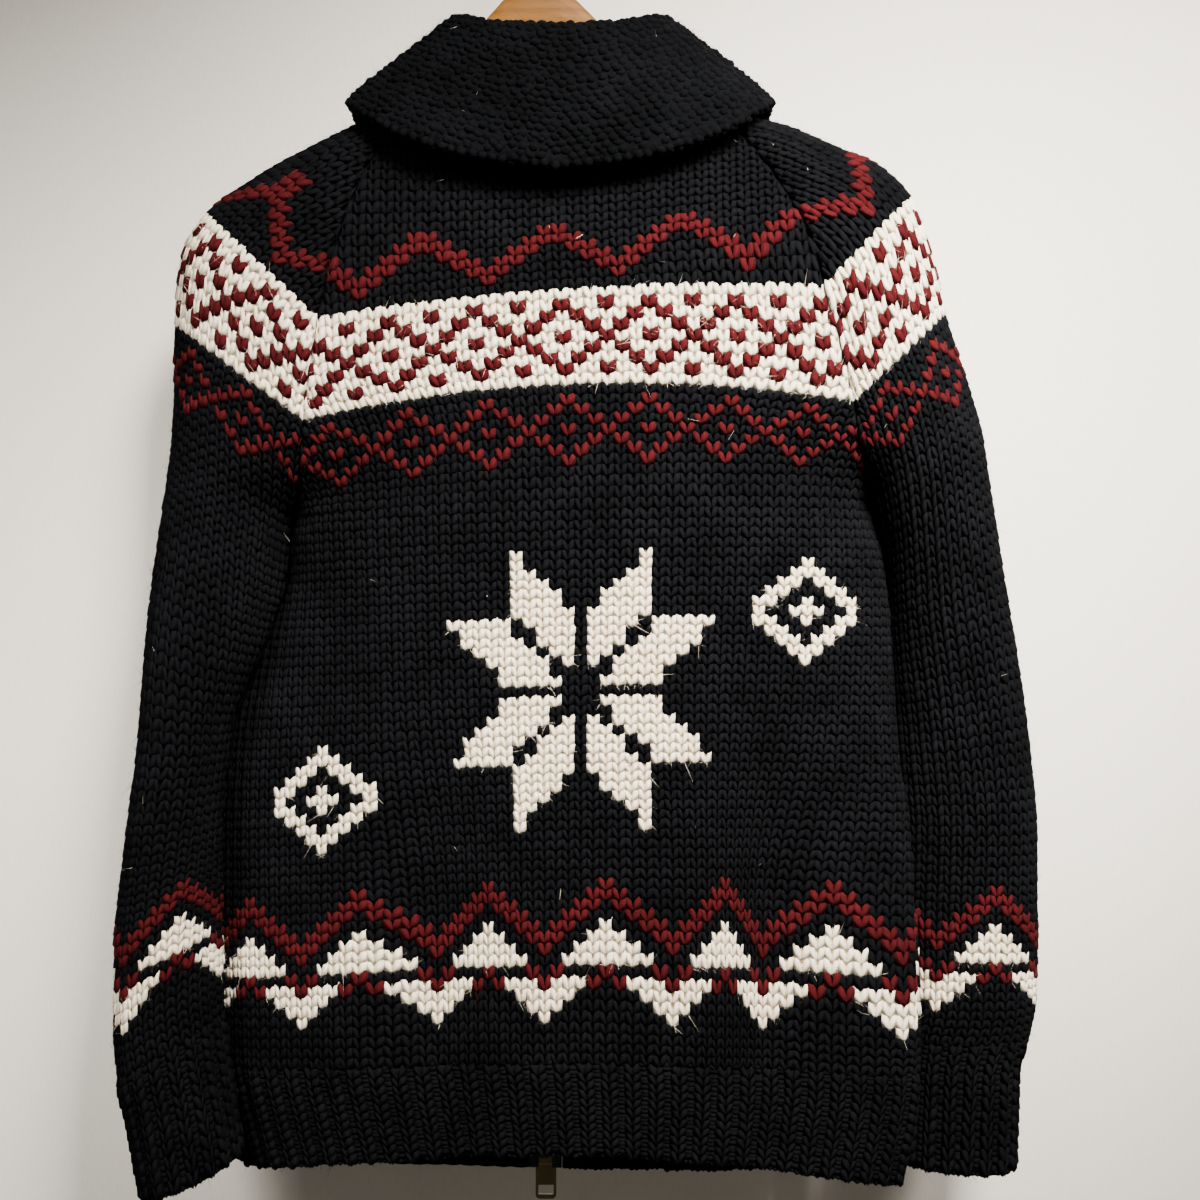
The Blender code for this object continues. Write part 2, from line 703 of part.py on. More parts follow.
def pull_tab(name, axis, metal):
    """A flat pull: a bar under the crown, a slot round the crown and a window near the rounded end."""
    bm = bmesh.new()
    half, thick = TAB_WIDTH / 2, TAB_THICK / 2
    box(bm, (-half, -thick, -TAB_DROP), (half, thick, TAB_BAR))
    low = [e for e in bm.edges if all(v.co.z < -TAB_DROP + 0.1 for v in e.verts)]
    low = [e for e in low if abs(e.verts[0].co.x - e.verts[1].co.x) < 0.1]
    bmesh.ops.bevel(bm, geom=low, offset=TAB_CORNER, segments=4, profile=0.5, affect="EDGES")
    bmesh.ops.scale(bm, vec=(MM, MM, MM), verts=bm.verts)
    mesh = bpy.data.meshes.new(name)
    bm.to_mesh(mesh)
    bm.free()
    obj = bpy.data.objects.new(name, mesh)
    obj.data.materials.append(metal)
    PARTS.objects.link(obj)
    holes = {
        "_slot": (-TAB_SLOT_DROP, -TAB_BAR, TAB_SLOT_HALF),
        "_window": (-TAB_WINDOW_LOW, -TAB_WINDOW_TOP, TAB_WINDOW_HALF),
    }
    for ending, (low_z, high_z, half_x) in holes.items():
        corners = ((-half_x, -thick - 2, low_z), (half_x, thick + 2, high_z))
        cutter = helper_object(name + ending, corners)
        cutter.parent = obj
        combine(obj, cutter, "DIFFERENCE")
    obj.location = [value * MM for value in axis]
    return obj


def zip_pulls(metal):
    lift = np.array([0.0, SLIDER_GAP - TAPE_SET_BACK, 0.0])
    for place, row in (("top", SLIDER_ROW_TOP), ("bottom", SLIDER_ROW_BOTTOM)):
        spot = zip_spot(row) + lift
        slider("slider_" + place, spot, metal)
        pull_tab("pull_tab_" + place, tab_axis(spot), metal)


def hanger(wood, steel):
    """A contoured wooden hanger, lofted from tip to tip, and its wire hook."""
    sides = 16
    angles = np.arange(sides) * 2 * math.pi / sides
    xs = np.array(sorted(set(HANGER.values[:, 0]) | {-142.0, 142.0, -105.0, 105.0}))
    top, height, thick = (HANGER.at(name, xs) for name in ("top_z", "height", "thick"))
    power = 0.72
    ring_y = np.sign(np.cos(angles)) * np.abs(np.cos(angles)) ** power
    ring_z = np.sign(np.sin(angles)) * np.abs(np.sin(angles)) ** power
    x = np.broadcast_to(xs[:, None], (len(xs), sides))
    y = thick[:, None] / 2 * ring_y
    z = (top - height / 2)[:, None] + height[:, None] / 2 * ring_z
    points = np.stack([x, y, z], axis=-1).reshape(-1, 3)
    faces = []
    for station in range(len(xs) - 1):
        for i in range(sides):
            a, b = station * sides + i, station * sides + (i + 1) % sides
            faces.append([a, b, b + sides, a + sides])
    faces.append(list(range(sides)))
    faces.append([(len(xs) - 1) * sides + i for i in range(sides)][::-1])
    mesh_object("hanger", points, faces, wood)
    hook(steel)


def hook(steel):
    """A wire that rises from the hanger, bows to the right and turns over the origin."""
    radius = HOOK_INNER + HOOK_WIRE / 2
    middle = -HOOK_INNER
    angles = np.radians(np.arange(-50, 216, 19))
    turned = [(radius * math.cos(a), middle + radius * math.sin(a)) for a in angles]
    route = [(0.0, HANGER.at("top_z", 0.0) + 0.4), (0.0, -58.0), (1.2, -50.0), (6.5, -42.0)] + turned
    curve = bpy.data.curves.new("hanger_hook", "CURVE")
    curve.dimensions = "3D"
    curve.bevel_depth = HOOK_WIRE / 2 * MM
    curve.bevel_resolution = 2
    curve.use_fill_caps = True
    spline = curve.splines.new("POLY")
    spline.points.add(len(route) - 1)
    for point, (x, z) in zip(spline.points, route):
        point.co = (x * MM, 0, z * MM, 1)
    obj = bpy.data.objects.new("hanger_hook", curve)
    curve.materials.append(steel)
    PARTS.objects.link(obj)


def material(name, colour, roughness, metallic=0.0):
    made = bpy.data.materials.new(name)
    made.use_nodes = True
    shader = made.node_tree.nodes["Principled BSDF"]
    shader.inputs["Base Color"].default_value = (*colour, 1)
    shader.inputs["Roughness"].default_value = roughness
    shader.inputs["Metallic"].default_value = metallic
    made.diffuse_color = (*colour, 1)
    return made


def clear_scene():
    for obj in list(bpy.data.objects):
        bpy.data.objects.remove(obj, do_unlink=True)


def collection(name):
    made = bpy.data.collections.new(name)
    bpy.context.scene.collection.children.link(made)
    return made


clear_scene()
PARTS = collection("cowichan_cardigan")
CUTTERS = collection("cutters")

yarn_black = material("yarn_black", (0.012, 0.013, 0.017), 0.95)
yarn_rib = material("yarn_rib", (0.014, 0.015, 0.019), 0.95)
yarn_collar = material("yarn_collar", (0.013, 0.014, 0.018), 0.95)
zip_cloth = material("zip_cloth", (0.01, 0.01, 0.012), 0.9)
brass = material("antique_brass", (0.22, 0.16, 0.09), 0.42, 1.0)
wood = material("hanger_wood", (0.56, 0.32, 0.12), 0.4)
steel = material("hook_steel", (0.6, 0.6, 0.6), 0.25, 1.0)

body_walls(yarn_black)
rib_walls(yarn_rib)
collar(yarn_collar)
zip_tapes(zip_cloth, brass)
zip_pulls(brass)
hanger(wood, steel)
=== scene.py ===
"""Looks for a cowichan cardigan on its hanger: knitted stitches over thin walls, zip, wood and studio.

The tables are in millimetres and knitted rows, as in the part's source. Finished pieces are in metres.
"""

import math
from functools import partial

import bmesh
import bpy
import numpy as np
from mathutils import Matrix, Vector


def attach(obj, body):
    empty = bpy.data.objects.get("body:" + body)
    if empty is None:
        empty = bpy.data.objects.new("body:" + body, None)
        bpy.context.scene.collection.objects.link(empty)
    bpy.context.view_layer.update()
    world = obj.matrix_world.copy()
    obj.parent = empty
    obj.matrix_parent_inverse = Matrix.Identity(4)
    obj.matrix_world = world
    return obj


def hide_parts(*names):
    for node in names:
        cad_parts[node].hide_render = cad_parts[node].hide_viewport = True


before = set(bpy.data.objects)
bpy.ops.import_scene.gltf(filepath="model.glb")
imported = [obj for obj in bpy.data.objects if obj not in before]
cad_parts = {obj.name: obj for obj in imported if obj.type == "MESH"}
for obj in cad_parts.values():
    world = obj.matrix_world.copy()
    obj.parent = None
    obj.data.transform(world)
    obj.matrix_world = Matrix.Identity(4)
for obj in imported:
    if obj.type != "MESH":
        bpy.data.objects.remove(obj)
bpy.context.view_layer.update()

MM = 0.001

# Driving sizes, in millimetres
WALL = 5.0  # thickness of the bulky knit
COLLAR_WALL = 6.4  # thickness of the moss-stitch collar
RIB_RAISE = 1.7  # height of a rib over the wall

# The knitted rows, counted down from the neck seam
ARMPIT_ROW = 38.0
RIB_ROW = 94.0
LAST_ROW = 105.0

BACK_RIBS = 34
FRONT_RIBS = 17
CUFF_RIBS = 18

# Roundness of the body's section: across ** FLATNESS, then a power from SIDE_POWER to YOKE_POWER
FLATNESS = 2.4
SIDE_POWER = 0.5
YOKE_POWER = 1.0
YOKE_SHARE = 0.75  # seam depth, as a share of the body's, at which the yoke's power is reached
SLEEVE_FLATNESS = 0.4  # how much flatter than an ellipse the arm's outer half is below the armpit
SLEEVE_SETTLES = 20  # rows below the armpit until it is

# Zip, in millimetres on each side of its own centre line
ZIP_OPENING = 10.0
ZIP_TOP_X, ZIP_LOW_X = 12, 1  # its line leans
CHAIN_RAISE = 1.2
CHAIN_THICK = 3.6
CHAIN_ROWS = (5.4, 8, 14, 20, 28, 38, 48, 58, 70, 82, 92, 101.7)

# Body edges by row: the raglan seams down to the armpit, then the sides. seam_depth is half the depth
# at the raglan seams; the y columns place the side seams. middle_z is the row's height at centre back.
BODY = """
row    left_x left_z right_x right_z left_y right_y seam_depth back_y front_y middle_z front_drop
0        -80   -172    108    -169      0      0       37.5      45      49    -170       36
5        -94   -194    122    -188      0      0       43        50      51    -196       23
9.5     -105   -222    134    -206      0      0       46        53      52    -219       14
14      -113   -250    145    -227      0      0       48        55      53    -241        8
18      -118   -275    154    -258      0      0       49        56      53.5  -261        5
22      -122   -301    162    -286      0      0       49.5      57      54    -284        3
27      -126   -330    170    -320      0      0       48        57      54    -312        2
30      -128   -344    173    -333      0      0       43        57      54    -328        2
33      -131   -359    177    -346      0      0       33        56      54    -344        2
36.4    -136   -374    182    -362      0      0       15        56      54    -363        3
38      -140   -381    185    -371      0      0        0        56      54    -373        3
44     -144.8  -413    193    -404      6     -4        0        55      53    -405        5
52      -163   -455    197    -447     14     -8        0        54      52    -446        8
62      -186   -513    200    -502     18    -11        0        53      51    -499       12
72      -192   -570    207    -556     20    -12        0        52      50    -550       17
82      -192   -625    211    -616     20    -12        0        50      48    -604.5     22
90      -189   -670    213    -672     19    -12        0        48      46    -654       27
94      -186   -692    213    -692     18    -11        0        46      45    -676.5     30
105     -172   -749    203    -754      15     -9        0        42      42    -727       38
"""

# Sleeves by row: the line along the shoulder and outer arm, the underarm line below the armpit,
# where the tube's middle lies in y, and half its depth.
SLEEVE_LEFT = """
row     outer_x outer_z inner_x inner_z middle_y half_depth
0         -92    -155    -80    -172       0        38
5        -120    -167    -94    -194       0        44
9.5      -149    -181   -105    -222       0        47
14       -172    -195   -113    -250       0        49.5
18       -189    -208   -118    -275       0        51
22       -203    -233   -122    -301       0        51.5
27       -206    -271   -126    -330       0        51
33       -206    -303   -131    -359       0        48
38       -207    -332   -140.5  -381       0        45
44       -209    -363   -144.2  -412      -6        42
52       -213.5  -419   -154    -448     -16        39
62       -216.5  -494   -172.5  -500     -25        36
72       -224.5  -560   -177    -552     -27        34
82       -230    -614   -177    -594     -27        33
90      -231   -664   -176    -633     -26        32
94      -229.3 -686   -176.5  -655     -25        31
99      -223   -715   -173    -688     -24        30
105     -217   -752   -166.5  -733     -23        29
"""

SLEEVE_RIGHT = """
row     outer_x outer_z inner_x inner_z middle_y half_depth
0         114    -155    108    -169       0        38
5         142    -161.5  122    -188       0        44
9.5       168    -172    134    -206       0        47
14        191    -181.5  145    -227       0        49.5
18        209.5  -199.5  154    -258       0        51
22        220.5  -231    162    -286       0        51.5
27        228.5  -265    170    -320       0        50
33        239.5  -300    177    -346       0        46
38        247.5  -326    185    -371       0        42
44        255.5  -363    194.6  -405       6        38
52        267    -421    198.4  -448      15        35
62        280    -491    200.5  -505      21        32
72        287    -560    203    -561      22        30
82        287.5  -617    205.5  -614      22        28
90      286    -659    207.5  -660      21        28
94      282    -677    208.5  -680      20        27
97      275.5  -694    208    -697      19        26.5
105     273    -752    205    -749      17        26
"""

# Soft folds that the hanging cloth takes: place across (-1 to 1), spread, inward depth, first and full row
BACK_FOLDS = """
fold  across spread depth first_row full_row
0     -0.30   0.10   3.5     52       84
1      0.58   0.09   4.0     48       80
2      0.08   0.12   1.8     60       92
3     -0.72   0.10   2.6     40       60
"""
FRONT_FOLDS = """
fold  across spread depth first_row full_row
0     -0.52   0.10   3.2     50       84
1      0.44   0.10   3.6     46       80
"""

# The collar by angle from centre back: its folded top line and its free edge, for each half
COLLAR = """
angle  top_x top_y top_z lean edge_x edge_y edge_z
0        0    -42  -114    -1    0    -64   -198
30      30    -39  -112    -1   48    -63   -191
60      53    -24  -102    -1   93    -54   -173
75      59    -13  -100    0   113    -35   -156
90      63     -2  -100   0.5  118     -4   -146
105     61     12  -107   0.5  116     32   -157
120     54     24  -120   0.5  111     54   -179
150     31     46  -166   0.5   87     66   -229
170     14     53  -196   0.5   52     71   -254
"""
COLLAR_CENTRE_X = 11.5  # of the neck seam and the free edge; the fold leans to the right of it
COLLAR_FOLD = 5.6  # radius of the fold
COLLAR_FOLD_STEPS = 5
COLLAR_BULGE = 1.0
COLLAR_RAISE = 1.9  # over the neck seam


def monotone(xs, ys, x):
    """A smooth curve through the points that adds no bumps between them."""
    steps = np.diff(xs)
    slopes = np.diff(ys) / steps
    before, after = slopes[:-1], slopes[1:]
    weight_a = 2 * steps[1:] + steps[:-1]
    weight_b = steps[1:] + 2 * steps[:-1]
    with np.errstate(divide="ignore", invalid="ignore"):
        inner = (weight_a + weight_b) / (weight_a / before + weight_b / after)
    inner = np.where(before * after > 0, inner, 0.0)
    tangents = np.concatenate([slopes[:1], inner, slopes[-1:]])
    x = np.clip(np.asarray(x, float), xs[0], xs[-1])
    i = np.clip(np.searchsorted(xs, x, side="right") - 1, 0, len(xs) - 2)
    t = (x - xs[i]) / steps[i]
    rise = ys[i] * (1 + 2 * t) * (1 - t) ** 2 + ys[i + 1] * t**2 * (3 - 2 * t)
    return rise + steps[i] * (tangents[i] * t * (1 - t) ** 2 - tangents[i + 1] * t**2 * (1 - t))


class Table:
    """A text table with named columns, each read as a smooth function of the first."""

    def __init__(self, text):
        lines = text.split("\n")[1:-1]
        self.names = lines[0].split()
        self.values = np.array([[float(word) for word in line.split()] for line in lines[1:]])

    def at(self, name, x):
        return monotone(self.values[:, 0], self.values[:, self.names.index(name)], x)

    def rows(self):
        return [dict(zip(self.names, row)) for row in self.values]


BODY, COLLAR = Table(BODY), Table(COLLAR)
SLEEVES = {"left": Table(SLEEVE_LEFT), "right": Table(SLEEVE_RIGHT)}
FOLDS = {-1: Table(BACK_FOLDS).rows(), 1: Table(FRONT_FOLDS).rows()}
BACK, FRONT = -1, 1
SIDES = (("left", -1), ("right", 1))  # each sleeve, and the way its surface's normal turns


def smoothstep(t):
    t = np.clip(t, 0, 1)
    return t * t * (3 - 2 * t)


def edges(axis, row):
    """A coordinate of the body's left and right edges."""
    return BODY.at("left_" + axis, row), BODY.at("right_" + axis, row)


def body_point(row, across, face):
    """The body's outer surface: across runs from -1 at the left seam to 1 at the right one."""
    left_x, right_x = edges("x", row)
    left_y, right_y = edges("y", row)
    left_z, right_z = edges("z", row)
    share = (across + 1) / 2
    x = left_x + (right_x - left_x) * share
    seam = BODY.at("seam_depth", row)
    depth = BODY.at("back_y" if face == BACK else "front_y", row)
    power = SIDE_POWER + (YOKE_POWER - SIDE_POWER) * smoothstep(seam / (YOKE_SHARE * depth))
    flat = 1 - np.abs(across) ** FLATNESS
    bulge = np.clip(flat, 0, 1) ** power
    for fold in FOLDS[face]:
        grown = smoothstep((row - fold["first_row"]) / (fold["full_row"] - fold["first_row"]))
        trough = np.exp(-(((across - fold["across"]) / fold["spread"]) ** 2))
        depth = depth - fold["depth"] * grown * trough
    side_y = left_y * (1 - share) + right_y * share
    y = side_y * (1 - bulge) + face * (seam + (depth - seam) * bulge)
    lift = BODY.at("middle_z", row) - (left_z + right_z) / 2
    if face == FRONT:
        lift = lift - BODY.at("front_drop", row)
    z = left_z + (right_z - left_z) * share + lift * (1 - across**2)
    return np.stack([x, y, z], axis=-1)


def sleeve_point(side, row, turn):
    """A sleeve's outer surface: turn runs from -1 at its back seam, over the arm, to 1 at the front."""
    table = SLEEVES[side]
    in_yoke = row <= ARMPIT_ROW
    inner_x = np.where(in_yoke, BODY.at(side + "_x", row), table.at("inner_x", row))
    inner_z = np.where(in_yoke, BODY.at(side + "_z", row), table.at("inner_z", row))
    dx = table.at("outer_x", row) - inner_x
    dz = table.at("outer_z", row) - inner_z
    depth = table.at("half_depth", row)
    open_share = BODY.at("seam_depth", row) / depth
    closed = np.sqrt(np.clip(1 - open_share**2, 0, 1))
    centre = closed / (1 + closed)
    angle = turn * np.arccos(-closed)
    out = np.cos(angle)
    power = 1 - SLEEVE_FLATNESS * smoothstep((row - ARMPIT_ROW) / SLEEVE_SETTLES)
    along = centre + (1 - centre) * np.where(out > 0, np.abs(out) ** power, out)
    y = table.at("middle_y", row) + depth * np.sin(angle)
    return np.stack([inner_x + dx * along, y, inner_z + dz * along], axis=-1)


def body_across(x, row):
    """How far across the body a place in x is."""
    left_x, right_x = edges("x", row)
    return (2 * x - left_x - right_x) / (right_x - left_x)


def zip_across(row):
    """Where the zip's line crosses a row of the front."""
    return body_across(ZIP_TOP_X + (ZIP_LOW_X - ZIP_TOP_X) * smoothstep(row / LAST_ROW), row)


def per_mm(row):
    """How far across one millimetre is."""
    left_x, right_x = edges("x", row)
    return 2 / (right_x - left_x)


def unit(vectors):
    return vectors / np.maximum(np.linalg.norm(vectors, axis=-1, keepdims=True), 1e-9)


def strides(points):
    """The distance from each point of a line to the next."""
    return np.linalg.norm(np.diff(points, axis=-2), axis=-1)


def running(steps):
    """The steps' running total, from 0."""
    return np.concatenate([0 * steps[..., :1], np.cumsum(steps, axis=-1)], axis=-1)


def between(table, i, j):
    """A grid's values at places between its rows and columns."""
    i0 = np.minimum(i.astype(int), table.shape[0] - 2)
    j0 = np.minimum(j.astype(int), table.shape[1] - 2)
    di, dj = (part.reshape(part.shape + (1,) * (table.ndim - 2)) for part in (i - i0, j - j0))
    near = table[i0, j0] * (1 - dj) + table[i0, j0 + 1] * dj
    far = table[i0 + 1, j0] * (1 - dj) + table[i0 + 1, j0 + 1] * dj
    return near * (1 - di) + far * di


# Stitches: their width by row, and the back's middle column
WALES = Table("""
row   pitch  middle_x
0      7.7     11
12     7.7     11.3
22     7.75    13.9
31     7.05    16.6
45     6.9     16.5
75     6.6     16.5
105    6.6     16.5
""")
# How far the lower back's soft folds widen or narrow the stitches
GATHERS = Table("""
x     width
-160  1.02
-116  1.0
-80   1.5
-43   0.82
-12   0.92
20    0.99
55    1.12
88    0.88
112   0.60
142   1.30
165   1.25
181   1.36
205   1.36
""")
GATHER_ROWS = (56, 80)
ROW_STEP = 0.5
WALE_STEP = 0.25
LAY_STEPS = 281  # points along a row of a panel, to find its stitches
RIB_LAY_STEPS = 241
ROW_DEEP = 5.4  # a row's depth past the last one
PROBE_ROWS, PROBE_ACROSS = 0.2, 0.006  # how far round a point its surface's slope is felt

GROUND = -0.9  # the thin wall under the stitches, from the knit's outer surface
GROUND_WALL = 4.0
RIB_GAP = 0.02  # rows left open on each side of a rib seam

# A stitch's leg: its reach along in rows, its width and lean across in stitches, the rest in millimetres
STITCH_TOP = -0.45
STITCH_TIP = 1.15
LEG_WIDTH = 0.64
LEG_LEAN, LEG_SPLAY = 0.08, 0.32  # out from the middle at its tip, and further out at its top
LEG_HEIGHT = 2.5
LEG_SINK = 0.25
LEG_TUCK, LEG_LEVEL = 0.75, 0.55  # how steeply it dips under the one above, and where it is level
LEG_TURNS = 2.6  # its length in the yarn's map
RED_PUFF = 0.55  # how much prouder the red yarn stands
RED_WIDER = 1.18
RIB_SLIM = 0.66  # how narrow a rib's stitches are beside plain ones
YARN_LENGTH = 60  # of the map in which each piece of yarn has its own place

# Charts, a letter for each stitch: r red, w cream, . black
BLACK, CREAM, RED = 0, 1, 2
YOKE_CHART = (
    "rr.......",
    "rrr.....r",
    "..rr...rr",
    "...rr.rr.",
    "....rrr..",
    ".....r...",
)
BAND_CHART = (
    "wwwwww",
    "rwwrww",
    "wrwwwr",
    "wwrwrw",
    "rwwrww",
    "wwrwrw",
    "wrwwwr",
    "rwwrww",
    "wwwwww",
)
DIAMOND_CHART = (
    "r.....",
    ".r...r",
    "..r.r.",
    "r..r..",
    "..r.r.",
    ".r...r",
    "r.....",
)
LOWER_CHART = (
    "r.........",
    "rr.......r",
    ".rr.....rr",
    "..rr...rr.",
    "w..rr.rr..",
    "ww..rrr..w",
    "www..r..ww",
    "wwww...www",
    "r...r.r...",
    ".rwwwrwwwr",
    "...wwwww..",
    "....www...",
    ".....w....",
)
# Charts that run round a panel: its first row, and the wale of its first column on each panel
BANDS = (
    (11, YOKE_CHART, {"back": -1, "sleeve_left": 2, "sleeve_right": 5, "front_left": -1, "front_right": -1}),
    (18, BAND_CHART, {}),
    (28, DIAMOND_CHART, {}),
    (77, LOWER_CHART, {"back": 3, "sleeve_left": -10, "sleeve_right": -7}),
)
LEFT_PEAK = -7  # the zigzag's wale that runs higher up the left sleeve's back
LEFT_PEAK_ROWS = (9, 12)
STAR_ROW, STAR_WALE, STAR_REACH = 57.5, 1, 15.0
STITCH_SHAPE = 1.36  # a stitch's width over its depth
LOZENGES = ((49, 19), (67, -20))  # middle row and wale
LOZENGE_HEART, LOZENGE_FRAME = 1, (4, 5)  # cream stitches, counted out from the middle
LOZENGE_HALF = 4  # stitches on each side of its middle one

MOSS_WIDE, MOSS_DEEP, MOSS_HIGH = 5.5, 4.3, 2.0  # a collar stitch
MOSS_WALL = COLLAR_WALL - 1.6  # the wall under the stitches
TOOTH_STEP = 1.5
TOOTH_LONG, TOOTH_SHIFT = 4.6, 0.85

# Loose fibres
FIBRES_PER_CM2 = 11.0
FIBRE_LENGTH, FIBRE_WIDTH = 1.4, 0.12
STRAY_SHARE = 0.0012  # cream ones in the black

RANDOM = np.random.default_rng(7)

# The studio in metres: the wall that the cardigan hangs against, the floor and the camera
WALL_Y, WALL_TOP, WALL_HALF = 0.080, 1.6, 3.0
FLOOR_Z, FLOOR_EDGE = -1.6, -3.0
COVE = 0.25
CAMERA_PLACE = (0.0336, -0.826, -0.4258)
SENSOR_MM, VIEW_ANGLE = 36, 45

# Flat cuts in metres: width and length, then the area in square metres
CUTS = {
    "back": ((0.45, 0.53), 0.1855),
    "front_left": ((0.22, 0.54), 0.0824),
    "front_right": ((0.25, 0.54), 0.0962),
    "sleeve_left": ((0.27, 0.58), 0.104),
    "sleeve_right": ((0.27, 0.58), 0.1111),
    "hem_back": ((0.48, 0.066), 0.0252),
    "hem_front_left": ((0.22, 0.066), 0.0114),
    "hem_front_right": ((0.27, 0.066), 0.0142),
    "cuff_left": ((0.21, 0.086), 0.0138),
    "cuff_right": ((0.20, 0.076), 0.0148),
    "collar": ((0.62, 0.18), 0.0709),
}


def wale_pitch(row, x, gathered):
    """A stitch's width, which the lower back's folds change."""
    pitch = WALES.at("pitch", row)
    if not gathered:
        return pitch
    grown = smoothstep((row - GATHER_ROWS[0]) / (GATHER_ROWS[1] - GATHER_ROWS[0]))
    return pitch * (1 + grown * (GATHERS.at("width", x) - 1))


class Panel:
    """A knitted panel's surface by wale and row, with wale 0 on its middle line and rows counted down."""

    def __init__(self, name, point, start, stop, middle, outward, gathered=False):
        self.name, self.point, self.outward = name, point, outward
        self.rows = np.arange(0, LAST_ROW + ROW_STEP / 2, ROW_STEP)
        row, share = np.meshgrid(self.rows, np.linspace(0, 1, LAY_STEPS), indexing="ij")
        across = start(row) + (stop(row) - start(row)) * share
        points = point(row, across)
        wales = running(strides(points) / wale_pitch(row, points[..., 0], gathered)[:, 1:])
        for i, line in enumerate(np.broadcast_to(middle(self.rows), self.rows.shape)):
            wales[i] -= np.interp(line, across[i], wales[i])
        self.low, self.high = wales[:, 0], wales[:, -1]
        self.first = math.floor(self.low.min()) - 1
        self.last = math.ceil(self.high.max()) + 1
        lay = np.arange(self.first, self.last + WALE_STEP / 2, WALE_STEP)
        self.lay = np.stack([np.interp(lay, wales[i], across[i]) for i in range(len(self.rows))])
        self.ends = across[:, 0].min(), across[:, -1].max()
        self.cell = 7.0, 5.5  # about how wide and deep a stitch is
        self.top, self.bottom = 0.3, RIB_ROW

    def limits(self, row):
        return np.interp(row, self.rows, self.low), np.interp(row, self.rows, self.high)

    def across(self, wale, row):
        """Where a wale crosses a row, held inside the seams."""
        i = np.clip(row / ROW_STEP, 0, self.lay.shape[0] - 1.001)
        j = np.clip((wale - self.first) / WALE_STEP, 0, self.lay.shape[1] - 1.001)
        return between(self.lay, i, j)

    def place(self, wale, row, lift):
        """Points that stand lift over the knit's outer surface, in metres."""
        row = np.maximum(row, 0)
        across = self.across(wale, row)
        return on_surface(self.point, row, across, lift, self.outward, self.ends)


def on_surface(point, row, across, lift, outward, ends=(-1, 1)):
    """Points over a surface that is read by row and across, in metres."""
    held = np.clip(row, 0, LAST_ROW)
    above, below = (np.clip(held + way * PROBE_ROWS, 0, LAST_ROW) for way in (-1, 1))
    left, right = (np.clip(across + way * PROBE_ACROSS, *ends) for way in (-1, 1))
    down = point(below, across) - point(above, across)
    beside = point(held, right) - point(held, left)
    normal = unit(np.cross(down, beside)) * outward
    beyond = unit(down) * ((row - held) * ROW_DEEP)[..., None]
    return (point(held, across) + beyond + normal * np.asarray(lift)[..., None]) * MM


def body_panel(name, face, start, stop, middle):
    return Panel(name, partial(body_point, face=face), start, stop, middle, -face, face == BACK)


def back_middle(row):
    """The back's middle stitch column, across."""
    return body_across(WALES.at("middle_x", row), row)


def full(value):
    return lambda row: np.full(np.shape(row), float(value))


def zip_side(way):
    """The line where a front ends beside the zip."""
    return lambda row: zip_across(row) + way * ZIP_OPENING * per_mm(row)


def panels():
    """The five panels above the ribs."""
    made = {
        "back": body_panel("back", BACK, full(-1), full(1), back_middle),
        "front_left": body_panel("front_left", FRONT, full(-1), zip_side(-1), zip_across),
        "front_right": body_panel("front_right", FRONT, zip_side(1), full(1), zip_across),
    }
    for side, outward in SIDES:
        name = "sleeve_" + side
        made[name] = Panel(name, partial(sleeve_point, side), full(-1), full(1), full(0), outward)
    return made


class RibPanel:
    """A rib band with ribs of one width: rib i stands from i to i + 1, counted from its first seam."""

    def __init__(self, name, point, start, stop, ribs, outward):
        self.name, self.point, self.ribs, self.outward = name, point, ribs, outward
        self.rows = np.linspace(RIB_ROW - 1, LAST_ROW, 13)
        self.shares = np.linspace(0, 1, RIB_LAY_STEPS)
        self.lay = np.empty((len(self.rows), len(self.shares)))
        for i, row in enumerate(self.rows):
            fine = start(row) + (stop(row) - start(row)) * self.shares
            reach = running(strides(point(np.full(len(fine), row), fine)))
            self.lay[i] = np.interp(self.shares * reach[-1], reach, fine)
        self.cell = reach[-1] / ribs, 5.0
        self.top, self.bottom = RIB_ROW, LAST_ROW + 0.2

    def limits(self, row):
        return 0 * row, 0 * row + self.ribs

    def place(self, rib, row, lift):
        row = np.maximum(row, RIB_ROW - 0.9)
        i = (np.minimum(row, LAST_ROW) - self.rows[0]) / (self.rows[1] - self.rows[0])
        j = np.clip(rib / self.ribs, 0, 1) * (len(self.shares) - 1)
        return on_surface(self.point, row, between(self.lay, i, j), lift, self.outward)


def rib_panels():
    """The hem's three bands and the two cuffs."""
    back, front = (partial(body_point, face=face) for face in (BACK, FRONT))
    made = [
        RibPanel("hem_back", back, full(-1), full(1), BACK_RIBS, 1),
        RibPanel("hem_front_left", front, zip_side(-1), full(-1), FRONT_RIBS, 1),
        RibPanel("hem_front_right", front, zip_side(1), full(1), FRONT_RIBS, -1),
    ]
    for side, outward in SIDES:
        arm = partial(sleeve_point, side)
        made.append(RibPanel("cuff_" + side, arm, full(-1), full(1), CUFF_RIBS, outward))
    return made


def yarns_of(chart):
    """A chart's letters as yarns."""
    return np.array([[".wr".index(letter) for letter in line] for line in chart])


